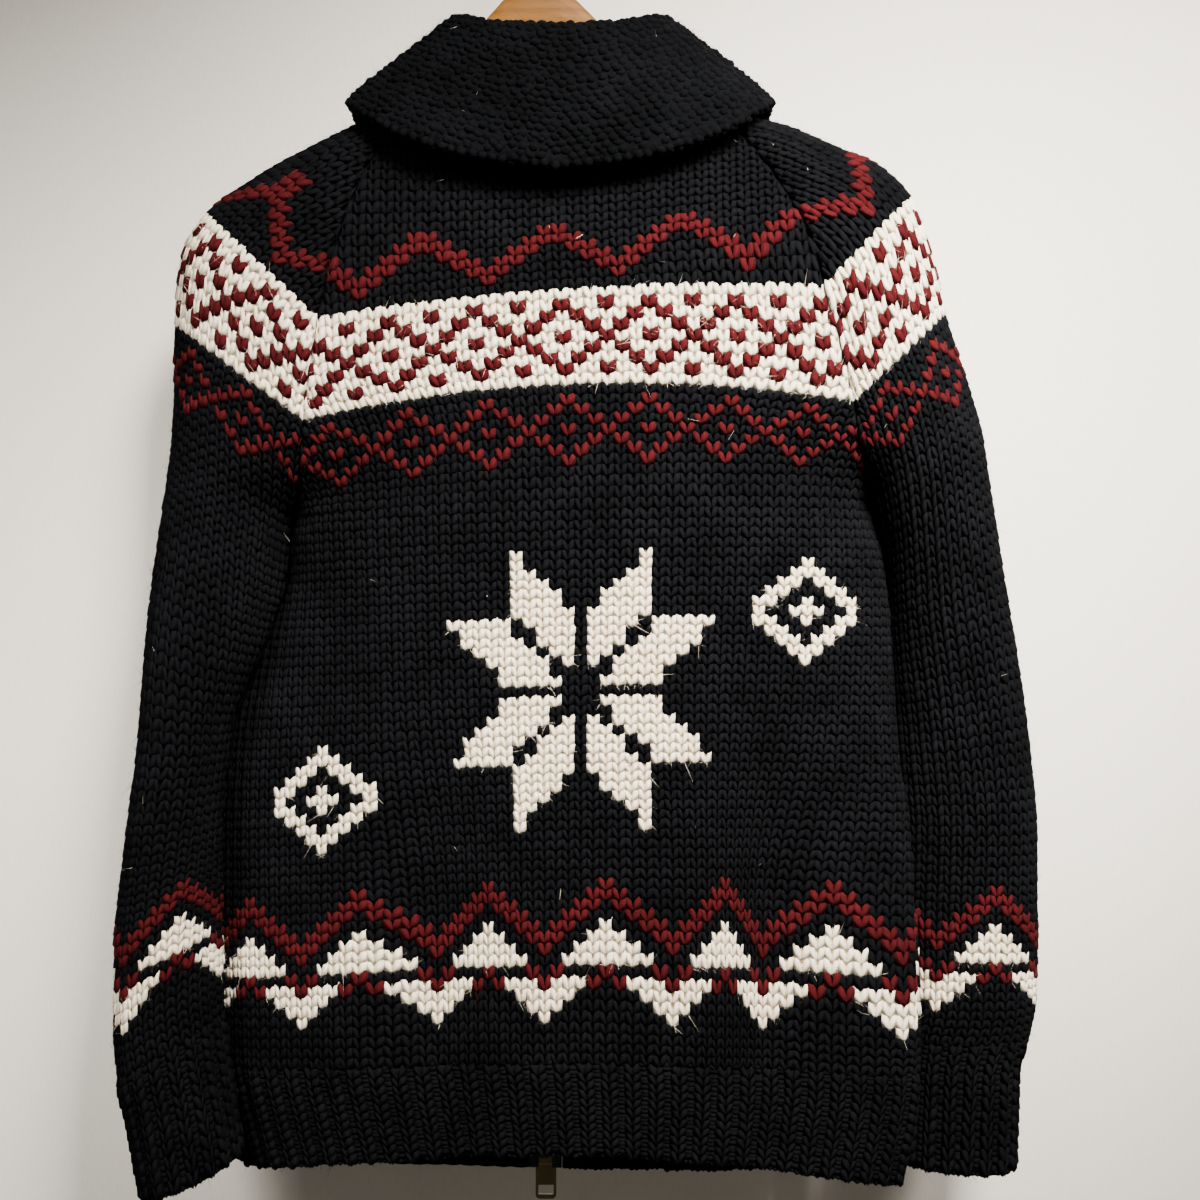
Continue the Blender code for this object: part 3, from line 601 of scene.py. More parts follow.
def chart_colour(name, wale, row):
    """The yarn of each stitch, from the charts."""
    wale, row = np.asarray(wale).astype(int), np.asarray(row).astype(int)
    colour = np.zeros(wale.shape, int)
    for first, chart, offsets in BANDS:
        codes = yarns_of(chart)
        here = (row >= first) & (row < first + len(codes))
        column = (wale - offsets.get(name, 0)) % codes.shape[1]
        colour[here] = codes[(row - first)[here], column[here]]
    if name == "sleeve_left":
        first, stop = LEFT_PEAK_ROWS
        colour[(wale >= LEFT_PEAK) & (wale <= LEFT_PEAK + 1) & (row >= first) & (row < stop)] = RED
    if name == "back":
        colour[in_star(wale, row)] = CREAM
        for middle_row, middle_wale in LOZENGES:
            beside = np.abs(wale - middle_wale)
            reach = beside + np.abs(row - middle_row)
            lozenge = (reach <= LOZENGE_HEART) | np.isin(reach, LOZENGE_FRAME)
            colour[lozenge & (beside <= LOZENGE_HALF)] = CREAM
    return colour


def in_star(wale, row):
    """An eight-pointed star of eight leaves with a stitch of black between them."""
    x = np.abs(wale - STAR_WALE) * STITCH_SHAPE
    y = np.abs(row + 0.5 - STAR_ROW)
    long, short = np.maximum(x, y), np.minimum(x, y)
    leaf = (short > 0.6) & (short < STAR_REACH / 2) & (long - short > 0.9)
    return leaf & (long - short < STAR_REACH / 2 - 0.2)


def template(bm):
    """A small shape's points and triangles, to be repeated many times."""
    bmesh.ops.triangulate(bm, faces=bm.faces)
    bm.verts.ensure_lookup_table()
    points = np.array([vert.co for vert in bm.verts])
    faces = np.array([[vert.index for vert in face.verts] for face in bm.faces])
    bm.free()
    order = np.lexsort(points.round(5).T)  # in the same order at each run, which a bevel doesn't give
    faces = np.argsort(order)[faces]
    faces = np.array([np.roll(face, -face.argmin()) for face in faces])
    return points[order], faces[np.lexsort(faces.T)]


def leg_shape():
    """One leg of a stitch: x across, y along from top (0) to tip (1), z up. A plump closed leaf."""
    bm = bmesh.new()
    bmesh.ops.create_uvsphere(bm, u_segments=3, v_segments=3, radius=1)
    points, faces = template(bm)
    widest = math.cos(math.radians(30))  # of the three-sided ring
    crest, width, along = points[:, 0] / widest, points[:, 1] / widest, points[:, 2]
    height = (crest + 0.5) / 1.5
    height = np.where(np.abs(along) > 0.99, 0.3, height)
    share = (1 - along) / 2
    width = width * np.interp(share, [0, 0.15, 0.5, 0.85, 1], [1, 1.08, 1, 0.9, 1])
    return np.stack([width, share, height], axis=1), faces


def bump_shape():
    """A moss stitch: a low dome with a few faces, one unit across, with z up."""
    bm = bmesh.new()
    bmesh.ops.create_uvsphere(bm, u_segments=5, v_segments=3, radius=1)
    return template(bm)


def joined_mesh(name, points, faces, materials, colours, uv):
    """Many copies of one shape as one object: points is (copies, points, 3)."""
    copies, size = points.shape[:2]
    first = points[0] - points[0].mean(axis=0)
    a, b, c = (first[faces[:, k]] for k in range(3))
    if (a * np.cross(b, c)).sum() < 0:
        faces = faces[:, ::-1]
    index = (faces[None] + (np.arange(copies) * size)[:, None, None]).reshape(-1)
    mesh = bpy.data.meshes.new(name)
    mesh.vertices.add(copies * size)
    mesh.vertices.foreach_set("co", points.reshape(-1))
    mesh.loops.add(len(index))
    mesh.loops.foreach_set("vertex_index", index)
    mesh.polygons.add(len(index) // 3)
    mesh.polygons.foreach_set("loop_start", np.arange(0, len(index), 3))
    mesh.polygons.foreach_set("material_index", np.repeat(colours, len(faces)))
    layer = mesh.uv_layers.new(name="yarn")
    layer.data.foreach_set("uv", uv.reshape(-1, 2)[index].reshape(-1))
    mesh.update()
    mesh.shade_smooth()
    mesh.validate()
    return link(name, mesh, materials)


def yarn_map(shape, copies):
    """Map places for copies of a shape, each at a spot of its own along the yarn."""
    return shape[None, :, :2] + RANDOM.uniform(0, YARN_LENGTH, size=(copies, 1, 2))


def smooth_object(name, bm, materials):
    mesh = bpy.data.meshes.new(name)
    bm.to_mesh(mesh)
    bm.free()
    mesh.shade_smooth()
    return link(name, mesh, materials)


def link(name, mesh, materials):
    obj = bpy.data.objects.new(name, mesh)
    for material in materials:
        mesh.materials.append(material)
    bpy.context.scene.collection.objects.link(obj)
    return obj


def stitch_legs(panel, wale, row, colour, materials, name, slim=1.0, lift=None):
    """Two leaf-shaped legs for every stitch, leaning outwards from its tip."""
    shape, faces = leg_shape()
    count = len(wale)
    side = np.repeat([-1.0, 1.0], count)
    wale, row, colour = (np.concatenate([part, part]) for part in (wale, row, colour))
    wobble = RANDOM.normal(size=(6, 2 * count))
    wobble[:3, count:] = wobble[:3, :count] * 0.6 + wobble[:3, count:] * 0.4
    across, along, up = shape[:, 0], shape[:, 1], shape[:, 2]
    lean = LEG_LEAN + LEG_SPLAY * (1 - along)
    reddish = colour == RED
    half = LEG_WIDTH / 2 * (1 + 0.07 * wobble[3]) * np.where(reddish, RED_WIDER, 1)
    u = wale[:, None] + side[:, None] * slim * (lean[None] + across[None] * half[:, None])
    u += 0.02 * wobble[0][:, None]
    top = STITCH_TOP + 0.06 * wobble[1]
    tip = STITCH_TIP + 0.05 * wobble[2]
    v = row[:, None] + top[:, None] + (tip - top)[:, None] * along[None]
    tuck = LEG_TUCK * (along - LEG_LEVEL)
    height = LEG_HEIGHT * (1 + 0.06 * wobble[4])
    sunk = 0.1 * wobble[5] - LEG_SINK + RED_PUFF * reddish
    level = GROUND + sunk[:, None] + up[None] * height[:, None] + tuck[None]
    if lift is not None:
        level = level + lift(u, v)
    uv = yarn_map(np.stack([across, along * LEG_TURNS], axis=1), 2 * count)
    return joined_mesh(name, panel.place(u, v, level), faces, materials, colour, uv)


def inside_cells(panel):
    """The whole stitches of a panel."""
    wale, row = np.meshgrid(
        np.arange(panel.first, panel.last + 1), np.arange(0, int(RIB_ROW)), indexing="ij"
    )
    wale, row = wale.ravel(), row.ravel()
    low, high = panel.limits(row + 0.5)
    whole = (wale > low - 0.2) & (wale < high + 0.2)
    return wale[whole], row[whole]


def rib_lift(rib, row):
    """A rib's rounded ridge over the furrows beside it, which grows from the seam with the knit."""
    return RIB_RAISE * (0.5 - 0.5 * np.cos(2 * math.pi * rib)) * smoothstep((row - RIB_ROW + 0.8) / 2.2)


def rib_ground(panel, materials):
    """The ribbed wall under the rib stitches: four columns for each rib."""
    columns = np.arange(0, panel.ribs + 0.01, 0.25)
    rows = np.linspace(RIB_ROW + RIB_GAP, LAST_ROW, 12)
    column, row = np.meshgrid(columns, rows, indexing="ij")
    points = panel.place(column, row, GROUND + rib_lift(column, row))
    return ground_wall(panel, columns, rows, points, np.zeros(points.shape[:2], int), None, materials)


def knit_ground(panel, materials):
    """The thin knitted wall under the stitches, a face for each stitch in its own yarn."""
    columns = np.arange(panel.first, panel.last + 1) - 0.5
    rows = np.arange(0, int(RIB_ROW) + 1).astype(float)
    rows[-1] -= RIB_GAP
    column, row = np.meshgrid(columns, rows, indexing="ij")
    low, high = panel.limits(row)
    points = panel.place(column, row, np.full(row.shape, GROUND))
    colours = chart_colour(panel.name, column + 0.5, row)
    beyond = (column <= low).astype(int) - (column >= high).astype(int)
    return ground_wall(panel, columns, rows, points, colours, beyond, materials)


def laid_grid(columns, rows, points):
    """A grid of faces laid on the points and mapped by column and row, and its vertices' places in it."""
    bm = bmesh.new()
    bmesh.ops.create_grid(bm, x_segments=len(columns) - 1, y_segments=len(rows) - 1, size=1)
    layer = bm.loops.layers.uv.new("yarn")
    spots = {}
    for vert in bm.verts:
        i = round((vert.co.x + 1) / 2 * (len(columns) - 1))
        j = round((vert.co.y + 1) / 2 * (len(rows) - 1))
        spots[vert] = i, j
        vert.co = points[i, j]
        for loop in vert.link_loops:
            loop[layer].uv = columns[i], rows[j]
    return bm, spots


def thicken(obj, thickness, offset, lining=0):
    """Gives a sheet its wall, with the material that comes so many slots later on its inner side."""
    wall = obj.modifiers.new("wall", "SOLIDIFY")
    wall.thickness = thickness * MM
    wall.offset = offset
    wall.material_offset = wall.material_offset_rim = lining
    return obj


def ground_wall(panel, columns, rows, points, colours, beyond, materials):
    """A grid laid on the panel, cut at its seams and given its wall."""
    bm, spots = laid_grid(columns, rows, points)
    outside = []
    for face in bm.faces:
        corners = [spots[vert] for vert in face.verts]
        face.material_index = int(colours[min(c[0] for c in corners), min(c[1] for c in corners)])
        if beyond is not None and abs(sum(beyond[corner] for corner in corners)) == 4:
            outside.append(face)
    bmesh.ops.delete(bm, geom=outside, context="FACES")
    bmesh.ops.remove_doubles(bm, verts=bm.verts, dist=0.02 * MM)
    if panel.outward > 0:
        bmesh.ops.reverse_faces(bm, faces=bm.faces)
    return thicken(smooth_object(panel.name + "_knit", bm, materials), GROUND_WALL, -1, len(materials) // 2)


def dress_panel(panel, yarns, linings):
    """A panel's wall and its stitches, in place of its plain solid."""
    ground = knit_ground(panel, yarns + linings)
    wale, row = inside_cells(panel)
    colour = chart_colour(panel.name, wale, row)
    stitches = stitch_legs(panel, wale, row, colour, yarns, panel.name + "_stitches")
    return ground, [stitches]


def dress_rib(panel, yarn, lining):
    """A rib band's wall, its standing stitches, the furrows' purls and its firm lower edge."""
    ground = rib_ground(panel, [yarn, lining])
    rib, row = np.meshgrid(np.arange(panel.ribs) + 0.5, np.arange(RIB_ROW, LAST_ROW))
    rib, row = rib.ravel(), row.ravel()
    stitches = stitch_legs(
        panel, rib, row, np.zeros(len(rib), int), [yarn], panel.name + "_stitches", RIB_SLIM, rib_lift
    )
    furrow, row = np.meshgrid(np.arange(1, panel.ribs), np.arange(RIB_ROW - 0.2, LAST_ROW - 0.2, 0.5))
    purls = bumps(panel, furrow.ravel(), row.ravel(), (0.24, 0.34, 1.5), GROUND + 0.1)
    edge = np.arange(0.125, panel.ribs, 0.25)
    rim = bumps(panel, edge, np.full(len(edge), LAST_ROW - 0.1), (0.18, 0.34, 3.1), GROUND - 1.9)
    parts = np.concatenate([purls, rim])
    shape, faces = bump_shape()
    uv = yarn_map(shape, len(parts))
    loops = joined_mesh(panel.name + "_loops", parts, faces, [yarn], np.zeros(len(parts), int), uv)
    return ground, [stitches, loops]


def bumps(panel, rib, row, size, lift):
    """Rounded loops of yarn on a rib band: size is across in ribs, along in rows and up in millimetres."""
    shape, _ = bump_shape()
    uneven = 1 + 0.12 * RANDOM.normal(size=(3, len(rib), 1))
    row = row + 0.08 * RANDOM.normal(size=len(rib))
    u = rib[:, None] + shape[None, :, 0] * size[0] * uneven[0]
    v = row[:, None] + shape[None, :, 1] * size[1] * uneven[1]
    return panel.place(u, v, lift + shape[None, :, 2] * size[2] * uneven[2])


def neck_ring():
    """The neck seam's middle line, from the zip's left side round the back to its right side."""
    share, half = np.linspace(-1, 1, 60), np.linspace(0, 1, 30)
    seam = np.zeros(60)
    left_stop, right_stop = (float(zip_side(way)(0.0)) for way in (-1, 1))
    pieces = [
        body_point(seam[:30], left_stop + (-1 - left_stop) * half, FRONT),
        sleeve_point("left", seam, -share),
        body_point(seam, share, BACK),
        sleeve_point("right", seam, share),
        body_point(seam[:30], 1 + (right_stop - 1) * half, FRONT),
    ]
    ring = np.concatenate([piece[:-1] for piece in pieces[:-1]] + [pieces[-1]])
    centre = np.array([COLLAR_CENTRE_X, 0, 0])
    inward = unit((centre - ring) * [1, 1, 0])
    return ring + inward * WALL / 2


def collar_angle(ring):
    """Degrees from centre back, -180 to 180, on the ring seen as a circle."""
    half_width = np.ptp(ring[:, 0]) / 2
    half_depth = np.ptp(ring[:, 1]) / 2
    across = (ring[:, 0] - COLLAR_CENTRE_X) / half_width
    return np.degrees(np.arctan2(across, -ring[:, 1] / half_depth))


def collar_sections(stations):
    """The collar's middle surface: a row for each station round the neck, from seam to free edge."""
    ring = neck_ring()
    angles = collar_angle(ring)
    order = np.argsort(angles)
    ring, angles = ring[order], angles[order]
    last = COLLAR.values[-1, 0]
    wanted = np.linspace(-last, last, stations)
    base = np.stack([np.interp(wanted, angles, ring[:, i]) for i in range(3)], axis=1)
    base[:, 2] += COLLAR_RAISE
    side = np.sign(wanted)
    turn = np.abs(wanted)
    top, edge = (np.stack([COLLAR.at(part + axis, turn) for axis in "xyz"], 1) for part in ("top_", "edge_"))
    top[:, 0] = COLLAR_CENTRE_X + COLLAR.at("lean", turn) + side * top[:, 0]
    edge[:, 0] = COLLAR_CENTRE_X + side * edge[:, 0]
    out = unit((edge - base) * [1, 1, 0])
    up = np.array([0.0, 0.0, 1.0])
    rise = np.clip((top[:, 2] - base[:, 2]) / 14, 0.35, 1)[:, None]
    fold_centre = top - up * COLLAR_FOLD
    stand_end = fold_centre - out * COLLAR_FOLD
    fall_start = fold_centre + out * COLLAR_FOLD
    columns = [base, base * 0.5 + stand_end * 0.5 - out * 1.2 * rise]
    for angle in np.linspace(math.pi, 0, COLLAR_FOLD_STEPS + 1):
        columns.append(fold_centre + COLLAR_FOLD * (out * math.cos(angle) + up * math.sin(angle)))
    normal = unit(np.cross(edge - fall_start, np.cross(edge - fall_start, out)))
    normal *= np.sign((normal * out).sum(axis=1, keepdims=True))
    for share in (0.33, 0.68):
        bulge = COLLAR_BULGE * 4 * share * (1 - share)
        columns.append(fall_start * (1 - share) + edge * share + normal * bulge)
    columns.append(edge)
    return np.stack(columns, axis=1)


class CollarSheet:
    """The collar's middle surface, even in length from the neck seam (0) to the free edge (1)."""

    def __init__(self, stations=150, lines=36):
        rough = collar_sections(stations)
        self.grid = np.empty((stations, lines, 3))
        for i, line in enumerate(rough):
            reach = running(strides(line))
            share = reach / reach[-1]
            for k in range(3):
                self.grid[i, :, k] = np.interp(np.linspace(0, 1, lines), share, line[:, k])
        for _ in range(3):
            self.grid[:, 1:-1] = (self.grid[:, :-2] + 2 * self.grid[:, 1:-1] + self.grid[:, 2:]) / 4
        self.normals = unit(np.cross(np.gradient(self.grid, axis=0), np.gradient(self.grid, axis=1)))
        self.deep = strides(self.grid).sum(axis=1)
        self.name, self.cell, self.top, self.bottom = "collar", (520.0, self.deep.mean()), 0.01, 0.99
        self.outward = -np.sign(self.normals[stations // 2, -4, 1])

    def limits(self, row):
        return 0 * row, 0 * row + 1

    def place(self, station, line, lift):
        """Points that stand lift over the collar's outer side, in metres."""
        centre, normal = self.read(station, line)
        return (centre + normal * self.outward * (COLLAR_WALL / 2 + lift)[..., None]) * MM

    def read(self, station, line):
        """The point and normal at shares along and across the collar."""
        i = np.clip(station, 0, 1) * (self.grid.shape[0] - 1.001)
        j = np.clip(line, 0, 1) * (self.grid.shape[1] - 1.001)
        return between(self.grid, i, j), between(self.normals, i, j)


def collar_wall(sheet, material):
    """The collar's even wall, on both sides of its middle surface."""
    stations, lines = sheet.grid.shape[:2]
    bm, _ = laid_grid(np.linspace(0, 120, stations), np.linspace(0, 20, lines), sheet.grid * MM)
    return thicken(smooth_object("collar_knit", bm, [material]), MOSS_WALL, 0)


def moss_stitches(sheet, material):
    """Short arcs of yarn in a checkerboard over both sides of the collar, larger along its free edge."""
    shape, faces = bump_shape()
    spots = []
    lines = int(sheet.deep.max() / MOSS_DEEP)
    for k in range(lines + 1):
        line = k / lines
        walk = np.linspace(0, 1, 400)
        reach = running(strides(sheet.read(walk, np.full(400, line))[0]))
        count = int(reach[-1] / MOSS_WIDE)
        station = np.interp((np.arange(count) + 0.5 * (k % 2) + 0.25) / count * reach[-1], reach, walk)
        for side in (1, -1):
            spots.append(np.stack([station, np.full(count, line), np.full(count, side)], axis=1))
    spots = np.concatenate(spots)
    station, line, side = spots.T
    count = len(spots)
    wobble = RANDOM.normal(size=(7, count))
    line = np.clip(line + 0.004 * wobble[0], 0, 1)
    station = np.clip(station + 0.0009 * wobble[1], 0, 1)
    edge = line > 0.975
    centre, normal = sheet.read(station, line)
    ahead, behind = (sheet.read(np.clip(station + step, 0, 1), line)[0] for step in (0.004, -0.004))
    along = unit(ahead - behind)
    across = unit(np.cross(normal, along))
    half = MOSS_WALL / 2
    lift = np.where(edge, half * 0.4, half - 0.5 + 0.2 * wobble[6]) * side
    size = np.stack([
        MOSS_WIDE * (0.60 + 0.06 * wobble[2]),
        MOSS_DEEP * (0.60 + 0.06 * wobble[3]) + 0.5 * edge,
        MOSS_HIGH + 0.25 * wobble[4] + 0.4 * edge,
    ], axis=1)
    tilt = 0.22 * wobble[5] + 0.3 * np.where(np.arange(count) % 2, 1, -1)
    bend = 0.22 * shape[None, :, 0] ** 2
    flat = shape[None, :, :2] * size[:, None, :2]
    flat[..., 1] -= bend * size[:, 1, None]
    cos, sin = np.cos(tilt)[:, None], np.sin(tilt)[:, None]
    turned = flat[..., 0] * cos - flat[..., 1] * sin, flat[..., 0] * sin + flat[..., 1] * cos
    points = (
        (centre + normal * lift[:, None])[:, None]
        + turned[0][..., None] * along[:, None]
        + turned[1][..., None] * across[:, None]
        + (shape[None, :, 2] * size[:, 2, None])[..., None] * normal[:, None]
    ) * MM
    uv = yarn_map(shape[:, 1::-1], count)
    return joined_mesh("collar_stitches", points, faces, [material], np.zeros(count, int), uv)


def zip_frame(row, from_mm, lift):
    """Points beside the zip's line, lift over the front's outer surface, in metres."""
    across = zip_across(row) + from_mm * per_mm(row)
    return on_surface(partial(body_point, face=FRONT), row, across, lift, -1)


def zip_teeth(metal):
    """The chain: interlocked metal teeth from both tapes."""
    bm = bmesh.new()
    bmesh.ops.create_cube(bm, size=1)
    bmesh.ops.bevel(bm, geom=bm.edges[:], offset=0.16, segments=1, profile=0.5, affect="EDGES", material=-1)
    shape, faces = template(bm)
    rows = np.linspace(CHAIN_ROWS[0], CHAIN_ROWS[-1], 400)
    line = zip_frame(rows, 0.0, np.zeros(400))
    reach = running(strides(line))
    count = int(reach[-1] / (TOOTH_STEP * MM))
    row = np.interp(np.arange(count) / count * reach[-1], reach, rows)
    way = np.where(np.arange(count) % 2, 1.0, -1.0)
    pitch = TOOTH_STEP / (reach[-1] / MM) * (CHAIN_ROWS[-1] - CHAIN_ROWS[0])
    across = way[:, None] * TOOTH_SHIFT + shape[None, :, 0] * TOOTH_LONG
    down = row[:, None] + shape[None, :, 1] * pitch * 0.78
    lift = CHAIN_RAISE - CHAIN_THICK / 2 + shape[None, :, 2] * CHAIN_THICK + 0 * across
    points = zip_frame(down, across, lift)
    uv = np.broadcast_to(shape[None, :, :2], (count, len(shape), 2)) + way[:, None, None]
    teeth = joined_mesh("zip_teeth", points, faces, [metal], np.zeros(count, int), uv)
    teeth.data.shade_flat()
    return teeth


def loose_fibres(name, panels, materials):
    """Fine hairs that stand out of the wool, nearly all in their stitch's own colour."""
    bm = bmesh.new()
    bmesh.ops.create_grid(bm, x_segments=1, y_segments=1, size=1)
    shape, faces = template(bm)
    shape = (shape + 1) / 2
    parts, colours = [], []
    for panel in panels:
        wide, deep = panel.cell
        low, high = panel.limits(np.array([(panel.top + panel.bottom) / 2]))
        area = float(high[0] - low[0]) * wide * (panel.bottom - panel.top) * deep
        count = int(area / 100 * FIBRES_PER_CM2)
        row = RANDOM.uniform(panel.top, panel.bottom, count)
        low, high = panel.limits(row)
        wale = low + (high - low) * RANDOM.uniform(0.005, 0.995, count)
        angle = RANDOM.uniform(0, 2 * math.pi, count)
        length = FIBRE_LENGTH + RANDOM.gamma(2.0, 1.0, count)
        stand = RANDOM.uniform(0.15, 0.9, count)
        bend = RANDOM.normal(size=count) * 0.9
        along = shape[None, :, 1]
        turn = angle[:, None] + bend[:, None] * along
        reach = length[:, None] * along
        width = (shape[None, :, 0] - 0.5) * FIBRE_WIDTH * (1.2 - along)
        out = 0.4 + reach * stand[:, None] + width * 0.6
        u = wale[:, None] + (reach * np.cos(turn) - width * np.sin(turn)) / wide
        v = row[:, None] + (reach * np.sin(turn) + width * np.cos(turn)) / deep
        parts.append(panel.place(u, v, out))
        colours.append(chart_colour(panel.name, np.round(wale), np.floor(row)))
    points, colour = np.concatenate(parts), np.concatenate(colours)
    stray = (colour == BLACK) & (RANDOM.uniform(size=len(colour)) < STRAY_SHARE)
    uv = np.broadcast_to(shape[None, :, :2], (len(points), len(shape), 2))
    return joined_mesh(name, points, faces, materials, np.where(stray, CREAM, colour), uv)


class Finish:
    """A material being made: nodes are added by kind, and a socket given as a value is linked."""

    def __init__(self, name, roughness, metallic=0.0, **constants):
        self.material = bpy.data.materials.new(name)
        self.material.use_nodes = True
        self.tree = self.material.node_tree
        self.shader = self.tree.nodes["Principled BSDF"]
        self.shader.inputs["Roughness"].default_value = roughness
        self.shader.inputs["Metallic"].default_value = metallic
        for socket, value in constants.items():
            self.shader.inputs[socket.replace("_", " ")].default_value = value

    def add(self, kind, properties=(), **values):
        node = self.tree.nodes.new("ShaderNode" + kind)
        for name, value in dict(properties).items():
            setattr(node, name, value)
        for name, value in values.items():
            self.feed(node.inputs[name.replace("_", " ")], value)
        return node

    def feed(self, socket, value):
        if isinstance(value, bpy.types.NodeSocket):
            self.tree.links.new(value, socket)
        else:
            socket.default_value = value

    def place(self, source="object", scale=(1, 1, 1), turn=0.0):
        """Coordinates from the yarn's own map or from the object, scaled."""
        if source == "yarn":
            start = self.add("UVMap", {"uv_map": "yarn"}).outputs["UV"]
        else:
            start = self.add("TexCoord").outputs["Object"]
        mapped = self.add("Mapping", Vector=start, Scale=scale, Rotation=(0, 0, turn))
        return mapped.outputs["Vector"]

    def noise(self, vector, scale, detail=3.0, roughness=0.55, distortion=0.0):
        values = {"Vector": vector, "Scale": scale, "Detail": detail, "Roughness": roughness}
        return self.add("TexNoise", **values, Distortion=distortion).outputs["Fac"]

    def wave(self, direction, vector, scale, **values):
        made = self.add("TexWave", {"bands_direction": direction}, Vector=vector, Scale=scale, **values)
        return made.outputs["Fac"]

    def ramp(self, factor, stops):
        made = self.add("ValToRGB", Fac=factor)
        ramp = made.color_ramp
        while len(ramp.elements) < len(stops):
            ramp.elements.new(0.5)
        for element, (place, colour) in zip(ramp.elements, stops):
            element.position = place
            element.color = (*colour, 1)
        return made.outputs["Color"]

    def blend(self, kind, first, second, factor=0.5):
        made = self.add("Mix", {"data_type": "RGBA", "blend_type": kind})
        for socket, value in zip((made.inputs[0], made.inputs[6], made.inputs[7]), (factor, first, second)):
            self.feed(socket, value)
        return made.outputs[2]

    def math(self, operation, first, second=0.5):
        made = self.add("Math", {"operation": operation})
        self.feed(made.inputs[0], first)
        self.feed(made.inputs[1], second)
        return made.outputs[0]

    def weigh(self, first, share, second, second_share):
        """Two values added by their shares."""
        parts = (self.math("MULTIPLY", *pair) for pair in ((first, share), (second, second_share)))
        return self.math("ADD", *parts)

    def bump(self, height, strength, distance, normal=None):
        made = self.add("Bump", Height=height, Strength=strength, Distance=distance * MM)
        if normal is not None:
            self.feed(made.inputs["Normal"], normal)
        return made.outputs["Normal"]

    def done(self, colour, normal):
        self.feed(self.shader.inputs["Base Color"], colour)
        self.feed(self.shader.inputs["Normal"], normal)
        return self.material


def wool(name, dark, light, sheen, gloss):
    """Bulky wool: fibres that run along the twisted yarn, uneven dye and a soft halo."""
    made = Finish(
        name, 0.95, Sheen_Weight=sheen, Sheen_Roughness=0.6, Specular_IOR_Level=gloss,
        Sheen_Tint=(*(min(1, c * 2 + 0.1) for c in light), 1),
    )
    fibres = made.noise(made.place("yarn", (5.0, 1.1, 1), 0.5), 1.5, 4.0, 0.7, 0.4)
    plies = made.noise(made.place("yarn", (1.6, 0.8, 1), 0.6), 0.9, 1.0)
    patches = made.noise(made.place(), 38.0, 2.0)
    colour = made.ramp(made.weigh(fibres, 0.6, patches, 0.4), ((0.32, dark), (0.68, light)))
    fuzz = made.noise(made.place(), 1300.0, 3.0, 0.7)
    normal = made.bump(plies, 0.5, 0.9)
    normal = made.bump(fibres, 0.55, 0.45, normal)
    normal = made.bump(fuzz, 0.5, 0.25, normal)
    return made.done(colour, normal)


def lining(name, dark, light):
    """The knit's inner side: rows of rounded purl loops, with painted shade between them."""
    made = Finish(name, 0.95, Sheen_Weight=0.004, Sheen_Roughness=0.6, Specular_IOR_Level=0.03)
    loops = made.add(
        "TexVoronoi", {"feature": "SMOOTH_F1"}, Vector=made.place("yarn", (0.9, 1.6, 1)), Scale=1.0,
        Randomness=0.35, Smoothness=0.6,
    ).outputs["Distance"]
    fibres = made.noise(made.place("yarn"), 5.0, 4.0, 0.7)
    # painted shade: the colour darkens towards each purl loop's edge, where its bump sinks between the loops
    colour = made.ramp(made.weigh(fibres, 0.7, loops, -0.4), ((0.0, dark), (0.5, light)))
    normal = made.bump(made.math("MULTIPLY", loops, -1.0), 0.9, 1.8)
    normal = made.bump(fibres, 0.5, 0.6, normal)
    return made.done(colour, normal)


def zip_weave():
    """Twill tape, fine across its width, with a raised edge cord."""
    made = Finish("zip_tape_weave", 0.85, Sheen_Weight=0.15, Specular_IOR_Level=0.3)
    place = made.place()
    threads = made.wave("DIAGONAL", place, 520.0, Distortion=0.4, Detail=2.0)
    ribs = made.wave("Z", place, 330.0, Distortion=0.2)
    dust = made.noise(place, 90.0)
    tone = made.math("MULTIPLY", threads, dust)
    colour = made.ramp(tone, ((0.1, (0.008, 0.008, 0.010)), (0.7, (0.032, 0.032, 0.036))))
    normal = made.bump(threads, 0.6, 0.25)
    normal = made.bump(ribs, 0.4, 0.2, normal)
    return made.done(colour, normal)


def aged_brass():
    """Dark antique brass, rubbed lighter where it is handled."""
    made = Finish("aged_brass", 0.42, 1.0)
    tarnish = made.noise(made.place(), 260.0, 4.0, 0.65)
    wear = made.add("NewGeometry").outputs["Pointiness"]
    rubbed = made.ramp(wear, ((0.49, (0, 0, 0)), (0.56, (1, 1, 1))))
    base = made.ramp(tarnish, ((0.3, (0.045, 0.036, 0.020)), (0.7, (0.12, 0.095, 0.052))))
    colour = made.blend("MIX", base, (0.19, 0.145, 0.075, 1), rubbed)
    rough = made.math("MULTIPLY_ADD", tarnish, 0.35)
    made.feed(made.shader.inputs["Roughness"], rough)
    scratches = made.noise(made.place("object", (1, 1, 8)), 420.0, 2.0)
    return made.done(colour, made.bump(scratches, 0.25, 0.08))


